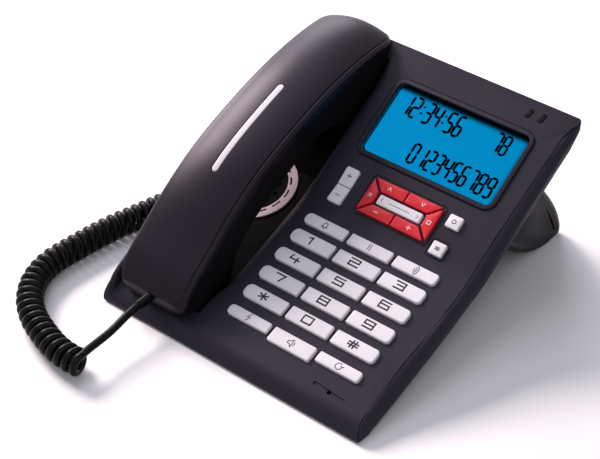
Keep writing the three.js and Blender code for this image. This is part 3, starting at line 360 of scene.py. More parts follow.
handset_x, handset_half, handset_rear, rear_corner = -0.056, 0.0238, 0.092, 0.014
reach = 0.2
sideways = Matrix(((0, 0, 1, 0), (1, 0, 0, 0), (0, 1, 0, 0), (0, 0, 0, 1)))


def walled(mesh, rings, endless=False):
    """Adds walls over rings of as many points each, with flat ends, or endless."""
    loops = [[mesh.verts.new(point) for point in ring] for ring in rings]
    if not endless:
        mesh.faces.new(loops[0])
        mesh.faces.new(loops[-1])
    for one, two in zip(loops, loops[1:] + loops[:1] * endless):
        for i in range(len(one)):
            mesh.faces.new((one[i - 1], one[i], two[i], two[i - 1]))


def solid(name, mesh, place=Matrix()):
    """An object of a closed mesh, moved to a place, whose faces point outwards."""
    mesh.transform(place)
    bmesh.ops.recalc_face_normals(mesh, faces=mesh.faces)
    data = bpy.data.meshes.new(name)
    mesh.to_mesh(data)
    mesh.free()
    return placed(name, data)


def skin(name, rings, place=Matrix()):
    """A closed surface over rings."""
    mesh = bmesh.new()
    walled(mesh, rings)
    return solid(name, mesh, place)


def prism(outline, low=-reach, high=reach, place=Matrix(), name="prism"):
    """A straight prism over a flat outline."""
    return skin(name, [[(*point, level) for point in outline] for level in (low, high)], place)


def combine(piece, operation, *others):
    """Cuts or joins closed pieces with a closed piece, and keeps the result as its mesh."""
    for other in others:
        change = piece.modifiers.new(operation, "BOOLEAN")
        change.operation, change.solver, change.object = operation, "MANIFOLD", other
    settle(piece)
    for other in others:
        bpy.data.objects.remove(other)


def cut(piece, *others):
    """Cuts closed pieces out of a closed piece."""
    combine(piece, "DIFFERENCE", *others)


def quarter(steps):
    """Evenly spaced angles from 0 to a quarter turn."""
    return spaced(0, pi / 2, steps)


def bow(centre, radius, angles):
    """Points of a round line about a centre."""
    return [(centre[0] + radius * cos(angle), centre[1] + radius * sin(angle)) for angle in angles]


def deck_height(y, depth, tilt):
    """How high a deck, or the surface at a depth under it, lies over the table."""
    return fold.z + (y - fold.y) * tan(tilt) - depth / cos(tilt)


nose_y = body_front + nose_radius * (1 - sin(keypad_tilt))
nose_centre = (nose_y + nose_radius * sin(keypad_tilt),
               deck_height(nose_y, 0, keypad_tilt) - nose_radius * cos(keypad_tilt))
fold_run = fold_radius * tan((display_tilt - keypad_tilt) / 2)
fold_centre = (fold.y - fold_run * cos(keypad_tilt) - fold_radius * sin(keypad_tilt),
               fold.z - fold_run * sin(keypad_tilt) + fold_radius * cos(keypad_tilt))


def deck_line(depth, rear):
    """The casing's side outline at a depth under its surface: the nose, both decks and the fold."""
    nose, bend = spaced(pi, pi / 2 + keypad_tilt, 16), spaced(keypad_tilt - pi / 2, display_tilt - pi / 2, 10)
    return [*bow(nose_centre, nose_radius - depth, nose), *bow(fold_centre, fold_radius + depth, bend),
            (rear, deck_height(rear, depth, display_tilt))]


def around(outline):
    """Each point of a closed outline, between the ones before and after it."""
    points = [Vector(point) for point in outline]
    return zip(points[-1:] + points[:-1], points, points[1:] + points[:1])


def filleted(points, radii, steps=6):
    """An outline with each corner rounded to its own radius."""
    rounded = []
    for (before, here, after), radius in zip(around(points), radii):
        before, after = (before - here).normalized(), (after - here).normalized()
        half = before.angle(after) / 2
        centre = here + (before + after).normalized() * radius / sin(half)
        start = here + before * radius / tan(half) - centre
        turn = pi - 2 * half
        way = 1 if before.cross(after) < 0 else -1
        rounded += [tuple(centre + Matrix.Rotation(angle, 2) @ start)
                    for angle in spaced(0, way * turn, steps)]
    return rounded


def plan(margin):
    """The casing's outline from above, drawn in by a margin, with its waist and rounded corners."""
    front, length = body_front + margin, body_rear - body_front - 2 * margin
    side = [(half_width * out - margin, front + along * length) for along, out in side_shares]
    right = [tuple(p) for p in smooth_line(side, 0.004)]
    outline = [(-x, y) for x, y in right[::-1]] + right
    radius = max(corner - margin, least_corner)
    ends = [outline[i] for i in (0, len(right) - 1, len(right), -1)]
    outline = [p for p in outline
               if p in ends or min((Vector(p) - Vector(end)).length for end in ends) > radius]
    rounded = []
    for three in around(outline):
        point = tuple(three[1])
        rounded += filleted(three, [0.0001, radius * 0.98, 0.0001])[7:14] if point in ends else [point]
    return rounded


def pan_outline(growth):
    """The cradle pan from the side: a flat, the floor along the keypad deck, a ramp and the pocket."""
    knee_height = deck_height(pan_knee, pan_depth, keypad_tilt)
    foot = pocket_front - pocket_ramp
    rear = body_rear + reach
    return [(pan_front - growth, reach), (pan_front - growth, knee_height - growth),
            (pan_knee, knee_height - growth),
            (foot, deck_height(foot, pan_depth, keypad_tilt) - growth / cos(keypad_tilt)),
            (pocket_front, deck_height(pocket_front, pocket_depth + growth, display_tilt)),
            (rear, deck_height(rear, pocket_depth + growth, display_tilt)), (rear, reach)]


def across(outline, left=-reach, right=reach):
    """A side outline carried from left to right."""
    return prism(outline, left, right, sideways)


def bevelled(piece, width, sharp):
    """Rounds the edges of a piece that turn by more than an angle."""
    rounding = piece.modifiers.new("rounded edges", "BEVEL")
    rounding.width, rounding.segments = width, 4
    rounding.limit_method, rounding.angle_limit = "ANGLE", sharp
    settle(piece)


casing = across([*deck_line(0, body_rear), (body_rear, deck_height(body_rear, 0, display_tilt) - rear_lip),
                 *deck_line(skirt, body_rear - rear_lip_run)[::-1]])
combine(casing, "INTERSECT", prism(plan(0), front_lift))
casing.name = "top_casing_shell"
bevelled(casing, 0.0011, radians(40))
cavity = across([*deck_line(wall, body_rear - rear_rim), (body_rear - rear_rim, -reach),
                 (body_front + wall, -reach)])
combine(cavity, "INTERSECT", prism(plan(wall)))
solid_rim_front = -0.03
cut(cavity, prism([(-reach, solid_rim_front), (pan_left - wall, solid_rim_front), (pan_left - wall, reach),
                   (-reach, reach)]))
cut(casing, cavity)
pan_fillet, liner_inset = 0.006, 0.0002
liner = across(pan_outline(wall), pan_left - wall, pan_right + wall + pan_fillet / 2)
under_deck = across([*deck_line(liner_inset, reach), (reach, -reach), (body_front + liner_inset, -reach)])
combine(liner, "INTERSECT", under_deck, prism(plan(liner_inset), front_lift))
combine(casing, "UNION", liner)


def rounded_box(width, height, radii, steps=6):
    """A rectangle about the origin with its corners rounded, from the lower left one."""
    x, y = width / 2, height / 2
    return filleted([(-x, -y), (x, -y), (x, y), (-x, y)], radii, steps)


def moved(outline, x, y):
    """An outline at another place."""
    return [(px + x, py + y) for px, py in outline]


def offset(outline, distance):
    """An outline of the same turn, moved out by a distance, or in by a negative one."""
    result = []
    for before, here, after in around(outline):
        one, two = (here - before).normalized(), (after - here).normalized()
        out = Vector((one.y + two.y, -one.x - two.x)).normalized()
        stretch = max(0.6, out.dot(Vector((one.y, -one.x))))
        result.append(tuple(here + out * distance / stretch))
    return result


def local_points(node, place, above=-1):
    """A CAD node's points in a tilted frame, those over a height only."""
    back = place.inverted()
    points = [back @ v.co for v in frame["nodes"][node].data.vertices]
    return [p for p in points if p.z > above]


def heights(node, place):
    """How low and how high a CAD node lies in a tilted frame."""
    levels = [p.z for p in local_points(node, place)]
    return min(levels), max(levels)


def extent(points):
    """The middle of a box round points, and its size."""
    low, high = (Vector([pick(values) for values in zip(*points)]) for pick in (min, max))
    return (low + high) / 2, high - low


def hull(points):
    """The outline round a node's points, seen along the frame's own Z."""
    flat = sorted({(round(p.x, 6), round(p.y, 6)) for p in points})
    corners = []
    for before, here, after in around(flat[i] for i in convex_hull_2d(flat)):
        one, two = here - (Vector(corners[-1]) if corners else before), after - here
        if one.length > least_corner and two.length and one.angle(two) > radians(5):
            corners.append(tuple(here))
    turned = sum(a[0] * b[1] - b[0] * a[1] for a, b in zip(corners, corners[1:] + corners[:1]))
    return corners if turned > 0 else corners[::-1]


key_clearance, rocker_clearance, hole_reach = 0.0003, 0.0004, 0.006
end_radius, right_radius, key_corner, tallest_key = 0.0034, 0.0024, 0.0009, 0.0086
keypad_rows = [row.split() for row in (
    "1 2 3", "4 5 6", "7 8 9", "star 0 hash", "upper_left upper_middle upper_right",
    "lower_left lower_middle lower_right")]
small_keys = ["key_small_upper", "key_small_lower"]
ring_keys = ["key_ring_" + side for side in (
    "right", "left", "top_right", "top_left", "bottom_right", "bottom_left")]
rockers = {"bar_rocker": 0.0009, "side_rocker": 0.0014}
places = {"key_" + name: keypad_frame for row in keypad_rows for name in row}
places.update({node: display_frame for node in (*small_keys, *ring_keys, *rockers)})
outlines = {}
left_column, _, right_column = zip(*keypad_rows)
for node, place in places.items():
    points = local_points(node, place, 0)
    if node in ring_keys:
        corners = hull(points)
        outlines[node] = filleted(corners, [least_corner] * len(corners), 3)
        continue
    middle, size = extent(points)
    left = right = rockers.get(node, key_corner)
    if node[4:] in left_column:
        left = end_radius * size.y / tallest_key
    if node[4:] in right_column:
        right = right_radius * size.y / tallest_key
    outlines[node] = moved(rounded_box(size.x, size.y, (left, right, right, left)), *middle.xy)
cut(casing, *[prism(offset(outline, rocker_clearance if node in rockers else key_clearance),
                    -hole_reach, hole_reach, places[node]) for node, outline in outlines.items()])

pane_middle, pane_size = extent(local_points("display_window", display_frame))
bezel_margin, bezel_lip, pane_corner = 0.0028, 0.0011, 0.004
window_shape = moved(rounded_box(*pane_size.xy, (pane_corner,) * 4, 10), *pane_middle.xy)
bezel = prism(offset(window_shape, bezel_margin), -wall / 2, bezel_lip, display_frame)
bevelled(bezel, 0.0007, radians(30))
combine(casing, "UNION", bezel)
cut(casing, prism(offset(window_shape, key_clearance), -hole_reach, hole_reach, display_frame))
groove_depth, groove_width, groove_margin = 0.0005, 0.0006, 0.0017


def grooved(outer, inner):
    """Cuts a shallow groove between two outlines into the display deck."""
    groove = prism(outer, -groove_depth, hole_reach, display_frame)
    cut(groove, prism(inner, -hole_reach, 2 * hole_reach, display_frame))
    cut(casing, groove)


grooved(offset(window_shape, bezel_margin + groove_width), offset(window_shape, bezel_margin))

# the pan is cut out, but for a corner that follows the handset's rounded rear
turn_centre = Vector((handset_x + handset_half - rear_corner, handset_rear - rear_corner))
rear_gap = 0.00015
turn_radius = rear_corner + rear_gap
turn_end = asin((body_rear - turn_centre.y) / turn_radius)
rear_arc = bow(turn_centre, turn_radius, spaced(0, turn_end, 10))
pan = across(pan_outline(0), pan_left, pan_right)
cut(pan, prism([(pan_right + wall, turn_centre.y - rear_corner), (pan_right, turn_centre.y - rear_corner),
                *rear_arc, (rear_arc[-1][0], reach), (pan_right + wall, reach)], -reach, 2 * reach))
cut(casing, pan)


round_row, sockets = group("repeated round a centre", Count="NodeSocketInt", Material="NodeSocketMaterial")
spots = add(round_row, "GeometryNodePoints", links={"Count": sockets["Count"]})
number = add(round_row, "GeometryNodeInputIndex")
part_turn = add(round_row, "ShaderNodeMath", {0: 2 * pi}, {1: sockets["Count"]}, operation="DIVIDE")
turn = add(round_row, "ShaderNodeMath", links={0: number.outputs[0], 1: part_turn.outputs[0]},
           operation="MULTIPLY")
angles = add(round_row, "ShaderNodeCombineXYZ", links={"Z": turn.outputs[0]})
row = add(round_row, "GeometryNodeInstanceOnPoints", links={
    "Points": spots.outputs[0], "Instance": sockets["Geometry"], "Rotation": angles.outputs[0]})
ended(round_row, row.outputs[0], sockets["Material"])


def barrel(radius, low, high, place=Matrix(), sides=32, x=0):
    """A round bar along a place's own Z."""
    return prism(bow((x, 0), radius, spaced(0, 2 * pi, sides)[:-1]), low, high, place)


# the cradle's loudspeaker: a recess for its ring, and holes in the pan's floor
ring_place = keypad_frame @ Matrix.Translation((-0.063 - fold.x, 0.00096, -pan_depth))
ring_radius, ring_width, ring_recess, ring_gap = 0.024, 0.0055, 0.001, 0.0003
speaker_hole, microphone_hole = 0.0012, 0.0013
recess = barrel(ring_radius + ring_gap, -ring_recess, 0.02, ring_place, 96)
cut(recess, barrel(ring_radius - ring_width - ring_gap, -reach, reach, ring_place, 96))
combine(recess, "INTERSECT", across([(-reach, -reach), (reach, -reach), (reach, reach), (-reach, reach)],
                                    pan_left, pan_right))
cut(casing, recess)
for count, circle in ((6, 0.008), (12, 0.0135), (1, 0)):
    holes = grown(barrel(speaker_hole, -2 * wall, wall, x=circle, sides=12), round_row, Count=count)
    holes.data.transform(ring_place)
    cut(casing, holes)

# a slot in the front with the hands-free microphone's hole in its middle, and the hook's opening
slot_place = (keypad_frame @ Matrix.Translation((0.0335, -0.0918, 0))
              @ Matrix.Rotation(radians(-4.5), 4, "Z"))
slot_length, slot_width, slot_depth = 0.021, 0.0022, 0.0006
slot = prism(rounded_box(slot_length, slot_width, (slot_width * 0.45,) * 4), -slot_depth, hole_reach,
             slot_place)
cut(casing, slot, barrel(microphone_hole, -2 * wall, wall, slot_place, 16))
plunger_hole, plunger_corner = (0.0076, 0.0046), 0.0004
plunger_place = display_frame @ Matrix.Translation((handset_x - fold.x, 0.07175, -pocket_depth))
cut(casing, prism(rounded_box(*plunger_hole, (plunger_corner,) * 4), -2 * wall, wall, plunger_place))
lamp_size, lamp_corner, lamp_lean, lamp_row = (0.0027, 0.0052), 0.0009, 0.2, 0.0985
lamp_shapes = {}
for node, x in (("indicator_left", 0.0353), ("indicator_right", 0.0433)):
    upright = rounded_box(*lamp_size, (lamp_corner,) * 4)
    lamp_shapes[node] = moved([(px + py * lamp_lean, py) for px, py in upright], x, lamp_row)
    cut(casing, prism(offset(lamp_shapes[node], key_clearance), -2 * wall, wall, display_frame))

# shallow grooves round the red keys and the lower small one
red_middle, red_size = extent([point for node in ring_keys for point in outlines[node]])
for middle, size, radius in ((red_middle, red_size, 0.0016), ((0.0329, 0.0079), (0.0084, 0.0077), 0.002)):
    grooved(*[moved(rounded_box(*(span + 2 * (groove_margin - inset) for span in size),
                                (radius - inset,) * 4), *middle) for inset in (0, groove_width)])


def height_on(line, y):
    """The value of a line of pairs over a place along the telephone."""
    for one, two in zip(line, line[1:]):
        if one[0] <= y < two[0]:
            return one[1] + (two[1] - one[1]) * (y - one[0]) / (two[0] - one[0])
    return line[-1][1] if y >= line[-1][0] else line[0][1]


def eased(value, start, end):
    """A smooth step from 0 at one value to 1 at another."""
    share = min(1, max(0, (value - start) / (end - start)))
    return share * share * (3 - 2 * share)


def draped(x_of, depth_of):
    """A ring over the deck: each point at its own place across and depth, closed far above the deck."""
    probe = 0.001
    pairs = list(zip(deck_line(0, reach), deck_line(probe, reach)))
    ring = []
    for (top_a, low_a), (top_b, low_b) in zip(pairs, pairs[1:]):
        count = ceil((Vector(top_b) - Vector(top_a)).length / 0.003)
        for i in range(count):
            top, low = (Vector(a).lerp(Vector(b), i / count) for a, b in ((top_a, top_b), (low_a, low_b)))
            ring.append((x_of(top.x), *(top + (low - top) * depth_of(top.x) / probe)))
    first, last = ring[0], ring[-1]
    return [(first[0], -reach, first[2]), *ring, (last[0], 2 * reach, 2 * reach),
            (first[0], -reach, 2 * reach)]


# the right edge: a fine groove, and outside it the side rounds down to the rim
crease_line = smooth_line((
    (-0.1035, 0.0885), (-0.1022, 0.0868), (-0.1, 0.0854), (-0.096, 0.0843), (-0.0895, 0.0834),
    (-0.0815, 0.0826), (-0.0725, 0.0823), (-0.0578, 0.0833), (-0.0375, 0.0846), (-0.012, 0.084),
    (0.0136, 0.0832), (0.044, 0.0845), (0.066, 0.0852), (0.0765, 0.0856), (0.082, 0.0869),
    (0.0855, 0.0889), (0.0885, 0.0915)), 0.002)
side_line = [(body_front + along * (body_rear - body_front), half_width * out)
             for along, out in side_shares]
side_fall, full_fall_width, crease_width, crease_depth = 0.0058, 0.004, 0.0005, 0.0004


def band_width(y):
    """How far the casing's side lies outside the groove."""
    return max(0.0004, height_on(side_line, y) + 0.0003 - height_on(crease_line, y))


def past(rings, shift):
    """The rings and one more, the last one shifted sideways."""
    return [*rings, [(x + shift, y, z) for x, y, z in rings[-1]]]


band = past([draped(lambda y: height_on(crease_line, y) + band_width(y) * sin(turn),
                    lambda y: side_fall * min(1, band_width(y) / full_fall_width) * (1 - cos(turn)))
             for turn in quarter(8)], 0.03)
crease = [draped(lambda y: height_on(crease_line, y) + shift, lambda y: crease_depth)
          for shift in (-crease_width, 0.0001)]
cut(casing, skin("band", band), skin("line", crease))

# the left rim gets lower to the rear, so it stays behind the handset
fall_start, fall_end, rim_drop = 0.016, 0.1, 0.0042
rim_fall = [(y, deck_height(y, rim_drop * eased(y, fall_start, 0.084) - 0.0002, display_tilt))
            for y in spaced(fall_start, fall_end, 20)]
cut(casing, across([*rim_fall, (fall_end, reach), (fall_start, reach)], -reach, pan_left + 0.0004))

# the deck rounds down into the pan, and the casing's left rim falls away to the rear
rim_width, rim_round, fillet_clear, fillet_skin = 0.0086, 0.0195, 0.0006, 0.00001
share_places = spaced(-0.104, 0.102, 103)
pan_share = [(y, eased(y, pan_front, pan_front + 0.03) * (1 - eased(y, 0.066, 0.086)))
             for y in share_places]
rim_share = [(y, eased(y, -0.05, 0.06)) for y in share_places]
for shares, depth, shift, x_of in (
    (pan_share, pan_fillet, -0.01,
     lambda y, turn: pan_right + pan_fillet * height_on(pan_share, y) * (1 - sin(turn))),
    (rim_share, rim_round, -0.03, lambda y, turn: pan_left - 0.0001 - rim_width * sin(turn)),
):
    rings = [draped(lambda y: x_of(y, turn), lambda y: depth * height_on(shares, y) * (1 - cos(turn))
                    - fillet_clear * (1 - height_on(shares, y)) - fillet_skin) for turn in quarter(8)]
    cut(casing, skin("fillet", past(rings, shift)))

# the cradle's left cheek beside the mouthpiece
cheek_rise = smooth_line((
    (-0.1025, 0), (-0.098, 0.0042), (-0.0936, 0.0068), (-0.088, 0.0083), (-0.082, 0.0092),
    (-0.07, 0.0096), (-0.055, 0.0085), (-0.035, 0.005), (-0.015, 0.0012), (-0.008, 0)), 0.003)
cheek_foot, cheek_sunk, cheek_side, cheek_power, cheek_root = 0.002, 0.0002, 0.0012, 2.6, 0.45
surface = deck_line(0, reach)
cheek = []
for y, rise in cheek_rise:
    inner, outer = pan_left - cheek_sunk, -height_on(side_line, y) + cheek_side
    middle, half, deck = (inner + outer) / 2, (inner - outer) / 2, height_on(surface, y)
    top = [(middle + half * cos(turn), deck - cheek_sunk
            + max(0, rise) * (1 - abs(cos(turn)) ** cheek_power) ** cheek_root)
           for turn in spaced(0, pi, 16)]
    cheek.append([(x, y, z) for x, z in [(inner, deck - cheek_foot), *top, (outer, deck - cheek_foot)]])
combine(casing, "UNION", skin("cheek", cheek))
smoothed(casing, radians(30))
# The satin paint has a soft, broad sheen and goes from nearly black to lilac in light.
aubergine = finish("ABS, moulded with a spark grain and satin painted", "#221f2a", 0.42, 1.2,
                   grain=0.16, grain_size=0.0004, shade="#28242f")
dressed(casing, "base", "casing", aubergine, "top_casing")
# The pan is coloured near black and dull as painted shade for the deep shade in the cradle; its coarse grain
# breaks up every reflection.
pan_painted_shade = finish("ABS pan, coarse moulded grain, near black as painted shade", "#040304", 0.6, 1.08, grain=0.3,
                   grain_size=0.0006, shade="#070607")
casing.data.materials.append(pan_painted_shade)
# faces sunk more than 1.2 mm in the pan take the near-black painted shade
for face in casing.data.polygons:
    middle = face.center
    tilt = display_tilt if middle.y > fold.y else keypad_tilt
    sunk = middle.z < deck_height(middle.y, 0.0012, tilt)
    if sunk and pan_left - 0.0001 < middle.x < pan_right + 0.0001 and middle.y > pan_front - 0.0001:
        face.material_index = 1


# Keys: silver caps for dialling, red mitred ones in a ring, and two rockers with a valley across.
# All are ABS caps with a thin satin lacquer; the keys have a flange under the deck, the rockers none.
# The lacquers have a thin clear coat: the silver looks pale and even, the red deep and saturated.
silver_lacquer = finish("ABS cap, silver lacquered", "#dbd7dd", 0.36, grain=0.1, coat=0.2, shade="#e4e0e5")
red_lacquer = finish("ABS cap, red lacquered", "#cb1e2c", 0.36, grain=0.08, coat=0.2, shade="#d32632")
flange_width, flange_thickness = 0.0007, 0.001
key_edge, key_crown, edge_steps = 0.0007, 0.00025, 5
body_of = {node: body for body, nodes in frame["record"]["behaviour"]["bodies"].items() for node in nodes}


def cap(name, outline, low, high, edge=0.0003, crown=0, place=display_frame, valley=(0, 0), flange=0):
    """A key's cap: a flange, straight walls, a rounded edge and a crowned top, with a valley across."""
    flange_top = low + (flange_thickness if flange else 0)
    rings = [(offset(outline, flange), level) for level in (low, flange_top)] if flange else []
    rings += [(outline, flange_top), (outline, high - edge)]
    for angle in quarter(edge_steps)[1:]:
        rings.append((offset(outline, -edge * (1 - cos(angle))), high - edge + edge * sin(angle)))
    top = rings[-1][0]
    middle = Vector((sum(p[0] for p in top), sum(p[1] for p in top))) / len(top)
    for share in (0.92, 0.8, 0.6, 0.35, 0.1):
        rings.append(([middle.lerp(Vector(point), share) for point in top],
                      high + crown * (1 - share * share)))
    mesh = bmesh.new()
    walled(mesh, [[(*point, level) for point in ring] for ring, level in rings])
    fall = Vector((*valley, 0))
    if fall.length:
        centre, way = Vector((*middle, 0)), fall.normalized()
        bmesh.ops.bisect_plane(mesh, geom=mesh.verts[:] + mesh.edges[:] + mesh.faces[:], plane_co=centre,
                               plane_no=way, dist=1e-7)
        half = max(abs((v.co - centre).dot(way)) for v in mesh.verts if v.co.z > high - 2 * edge)
        for v in mesh.verts:
            if v.co.z > high - 2 * edge:
                v.co.z -= fall.length * (1 - abs((v.co - centre).dot(way)) / half)
    return smoothed(solid(name, mesh, place), radians(32))


valleys = {"bar_rocker": (0.0002, 0), "side_rocker": (0, 0.0012)}
caps = {}
for node, outline in outlines.items():
    red, rocks = node in ring_keys, node in rockers
    caps[node] = cap(node + "_cap", outline, *heights(node, places[node]), 0.0005 if red else key_edge,
                     0 if rocks else key_crown, places[node], valleys.get(node, (0, 0)),
                     0 if rocks else flange_width)
    dressed(caps[node], body_of[node], "red" if red else "silver", red_lacquer if red else silver_lacquer,
            node)


# Legends: plain digits and generic signs, printed on the caps in one thin even stroke.
# The ink is a pad-printed film, dark on the silver caps and pale on the red ones.
# The inks lie flat with a dull sheen, so the signs stay plain from every side.
dark_ink = finish("pad-printed ink, dark", "#19181c", 0.45, shade="#232126")
pale_ink = finish("pad-printed ink, pale", "#e3c9cb", 0.45, shade="#ecd6d8")
ink_film, stroke_step, ray_start = 0.00003, 0.0006, 0.02


def arc(x, y, radius, start, end, count=10):
    """A round stroke in the words of the signs below, in hundredths and degrees."""
    turns = [radians(turn) for turn in spaced(start, end, count)]
    return " ".join(f"{px},{py}" for px, py in bow((x, y), radius, turns))


# each sign's strokes, parted by semicolons, run through points in hundredths of its width and height
signs = {
    "0": "0,0 100,0 100,100 0,100 0,0", "1": "30,80 62,100 62,0",
    "2": "0,100 100,100 100,52 0,52 0,0 100,0", "3": "0,100 100,100 100,0 0,0; 25,52 100,52",
    "4": "15,100 0,40 100,40; 72,75 72,0", "5": "100,100 0,100 0,54 100,54 100,0 0,0",
    "6": "100,100 0,100 0,0 100,0 100,54 0,54", "7": "0,100 100,100 65,0",
    "8": "0,0 100,0 100,100 0,100 0,0; 0,52 100,52", "9": "0,0 100,0 100,100 0,100 0,48 100,48",
    "star": "50,0 50,100; 7,25 93,75; 7,75 93,25",
    "hash": "30,0 40,100; 62,0 72,100; 0,68 100,68; 0,32 100,32",
    "bell": "10,20 90,20 75,35 " + arc(50, 60, 25, 0, 180) + " 25,35 10,20; 42,5 58,5",
    "pause": "35,10 35,90; 65,10 65,90",
    "waves": "; ".join(arc(20, 50, radius, -60, 60) for radius in (20, 45, 70)),
    "flash": "65,100 30,50 70,50 35,0",
    "speaker": "0,33 0,67 28,67 60,100 60,0 28,33 0,33; " + arc(60, 50, 30, -45, 45),
    "again": arc(50, 50, 42, 60, 360) + "; 74,62 92,48 108,64",
    "up": "15,20 50,80 85,20", "down": "15,80 50,20 85,80",
    "square": "15,15 85,15 85,85 15,85 15,15", "cross": "20,20 80,80; 20,80 80,20",
    "round": arc(50, 50, 40, 0, 360, 16), "bars": "10,75 90,75; 10,50 90,50; 10,25 90,25",
    "plus": "50,5 50,95; 5,50 95,50", "minus": "5,50 95,50",
    "left": "75,10 30,50 75,90", "right": "25,10 70,50 25,90", "line": "0,50 100,50"}


def printed(name, marks, stroke, cap_piece, place):
    """A sign's strokes as a thin film that follows the cap under it."""
    surface = bmesh.new()
    surface.from_mesh(cap_piece.data)
    tree = BVHTree.FromBMesh(surface)
    surface.free()
    up = (place.to_3x3() @ Vector((0, 0, 1))).normalized()
    mesh = bmesh.new()
    for sign, x, y, width, height in marks:
        for line in signs[sign].split("; "):
            pairs = [[float(value) / 100 for value in point.split(",")] for point in line.split()]
            points = [Vector(((px - 0.5) * width + x, (py - 0.5) * height + y)) for px, py in pairs]
            fine = [points[0]]
            for one, two in zip(points, points[1:]):
                count = max(1, ceil((two - one).length / stroke_step))
                fine += [one.lerp(two, i / count) for i in range(1, count + 1)]
            closed = (fine[0] - fine[-1]).length < 1e-6
            fine = fine[:-1] if closed else fine
            rings = []
            for i, (before, point, after) in enumerate(around(fine)):
                first, last = (not closed and i == spot for spot in (0, len(fine) - 1))
                one = (after - point if first else point - before).normalized()
                two = one if last else (after - point).normalized()
                side = Vector((-one.y - two.y, one.x + two.x)).normalized()
                side *= stroke / 2 / max(0.5, side.dot(Vector((-one.y, one.x))))
                end = point + (two * last - one * first) * stroke / 2
                hits = []
                for edge in (end + side, end - side):
                    start = place @ Vector((*edge, ray_start))
                    hits.append(tree.ray_cast(start, -up)[0] or place @ Vector((*edge, 0)))
                lift = up * ink_film
                rings.append([hits[0] + lift, hits[1] + lift, hits[1] - lift, hits[0] - lift])
            walled(mesh, rings, closed)
    return solid(name, mesh)


digit_width, digit_height, digit_stroke = 0.0058, 0.0043, 0.00096
sign_size, small_sign, sign_stroke, digit_shift = 0.0046, 0.0028, 0.00048, (-0.0012, 0.0003)
arrow_size, arrow_reach, bar_line, bar_stroke = 0.0024, 0.0118, 0.013, 0.0003
valley_line, sign_reach = 0.0094, 0.0062
key_signs = {"upper_left": "bell", "upper_middle": "pause", "upper_right": "waves", "lower_left": "flash",
             "lower_middle": "speaker", "lower_right": "again", "small_upper": "round",
             "small_lower": "bars", "ring_top_left": "up", "ring_top_right": "down", "ring_left": "cross",
             "ring_right": "square", "ring_bottom_left": "minus", "ring_bottom_right": "plus"}


def sign_row(node):
    """The signs on one key, each with its place and size, and the width of their stroke."""
    (x, y), name = extent(outlines[node])[0], node[4:]
    if name in signs:
        return [(name, x + digit_shift[0], y + digit_shift[1], digit_width, digit_height)], digit_stroke
    if node == "bar_rocker":
        return [("left", x - arrow_reach, y, arrow_size, arrow_size), ("line", x, y, bar_line, arrow_size),
                ("right", x + arrow_reach, y, arrow_size, arrow_size)], bar_stroke
    if node == "side_rocker":
        return [("line", x, y, valley_line, 0), ("plus", x, y + sign_reach, small_sign, small_sign),
                ("minus", x, y - sign_reach, small_sign, small_sign)], sign_stroke
    size = small_sign if node in ring_keys or node in small_keys else sign_size
    return [(key_signs[name], x, y, size, size)], sign_stroke


for node, piece in caps.items():
    red = node in ring_keys
    dressed(printed(node + "_print", *sign_row(node), piece, places[node]), body_of[node],
            "red" if red else "silver", pale_ink if red else dark_ink)


# Display: a clear acrylic window in the bezel over a backlit liquid crystal panel with dark digits.
# The window has a coat against glare; the light comes through a blue diffuser sheet, and a painted shadow of
# the bezel darkens the panel's glow along its top and right edge. A black border is printed on the window's
# back.
# Polished acrylic is clear, and its coat leaves next to no reflection, hence the low IOR.
acrylic = surfaced("acrylic, cast and polished", "ShaderNodeBsdfPrincipled", {
    "Base Color": linear("#ffffff"), "Roughness": 0.0, "IOR": 1.03, "Transmission Weight": 1.0})[0]
pane_low, pane_high = heights("display_window", display_frame)
window = cap("display_window_pane", window_shape, pane_low, pane_high)
dressed(window, "base", "window", acrylic, "display_window")
# The lit diffuser gives an even, strong blue that darkens a little to the right; a painted shadow of the
# bezel dims it along the top and right edges.
backlight, tree, shader = surfaced("liquid crystal glass over a lit diffuser", "ShaderNodeBsdfPrincipled", {
    "Base Color": linear("#000000"), "Roughness": 0.5, "Specular IOR Level": 0.0})
place = add(tree, "ShaderNodeTexCoord").outputs["Object"]
spread = add(tree, "ShaderNodeSeparateXYZ", links={0: place}).outputs
panel_low, panel_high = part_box("display_panel")
over_panel = add(tree, "ShaderNodeMapRange", {1: panel_low.x, 2: panel_high.x}, {0: spread["X"]})
blues = add(tree, "ShaderNodeMix", {6: linear("#028bc8"), 7: linear("#0088c2")},
            {0: over_panel.outputs[0]}, data_type="RGBA")
window_right, window_rear = pane_middle.x + pane_size.x / 2 + fold.x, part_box("display_window")[1].y
# painted shadow of the bezel: the glow fades towards the window's right and rear edges
painted_bezel_shadow = [add(tree, "ShaderNodeMapRange", {1: dark, 2: bright, 3: least}, {0: spread[axis]},
              interpolation_type="SMOOTHSTEP").outputs[0] for axis, dark, bright, least in (
                  ("X", window_right + 0.0005, window_right - 0.0038, 0.1),
                  ("Y", window_rear - 0.0006, window_rear - 0.0035, 0.02))]
lit = add(tree, "ShaderNodeMath", links=dict(enumerate(painted_bezel_shadow)), operation="MULTIPLY")
tree.links.new(blues.outputs[2], shader.inputs["Emission Color"])
tree.links.new(lit.outputs[0], shader.inputs["Emission Strength"])
painted(frame["nodes"]["display_panel"], backlight)

border_width, border_film, border_gap = 0.0009, 0.00005, 0.00001
border = prism(window_shape, pane_low - border_film, pane_low - border_gap, display_frame, "display_border")
cut(border, prism(offset(window_shape, -border_width), -reach, reach, display_frame))
# The printed border swallows the light, as a flat black edge.
dressed(border, "base", "screen", finish("screen-printed black ink", "#000000", 0.6, 1.0, shade="#000000"))

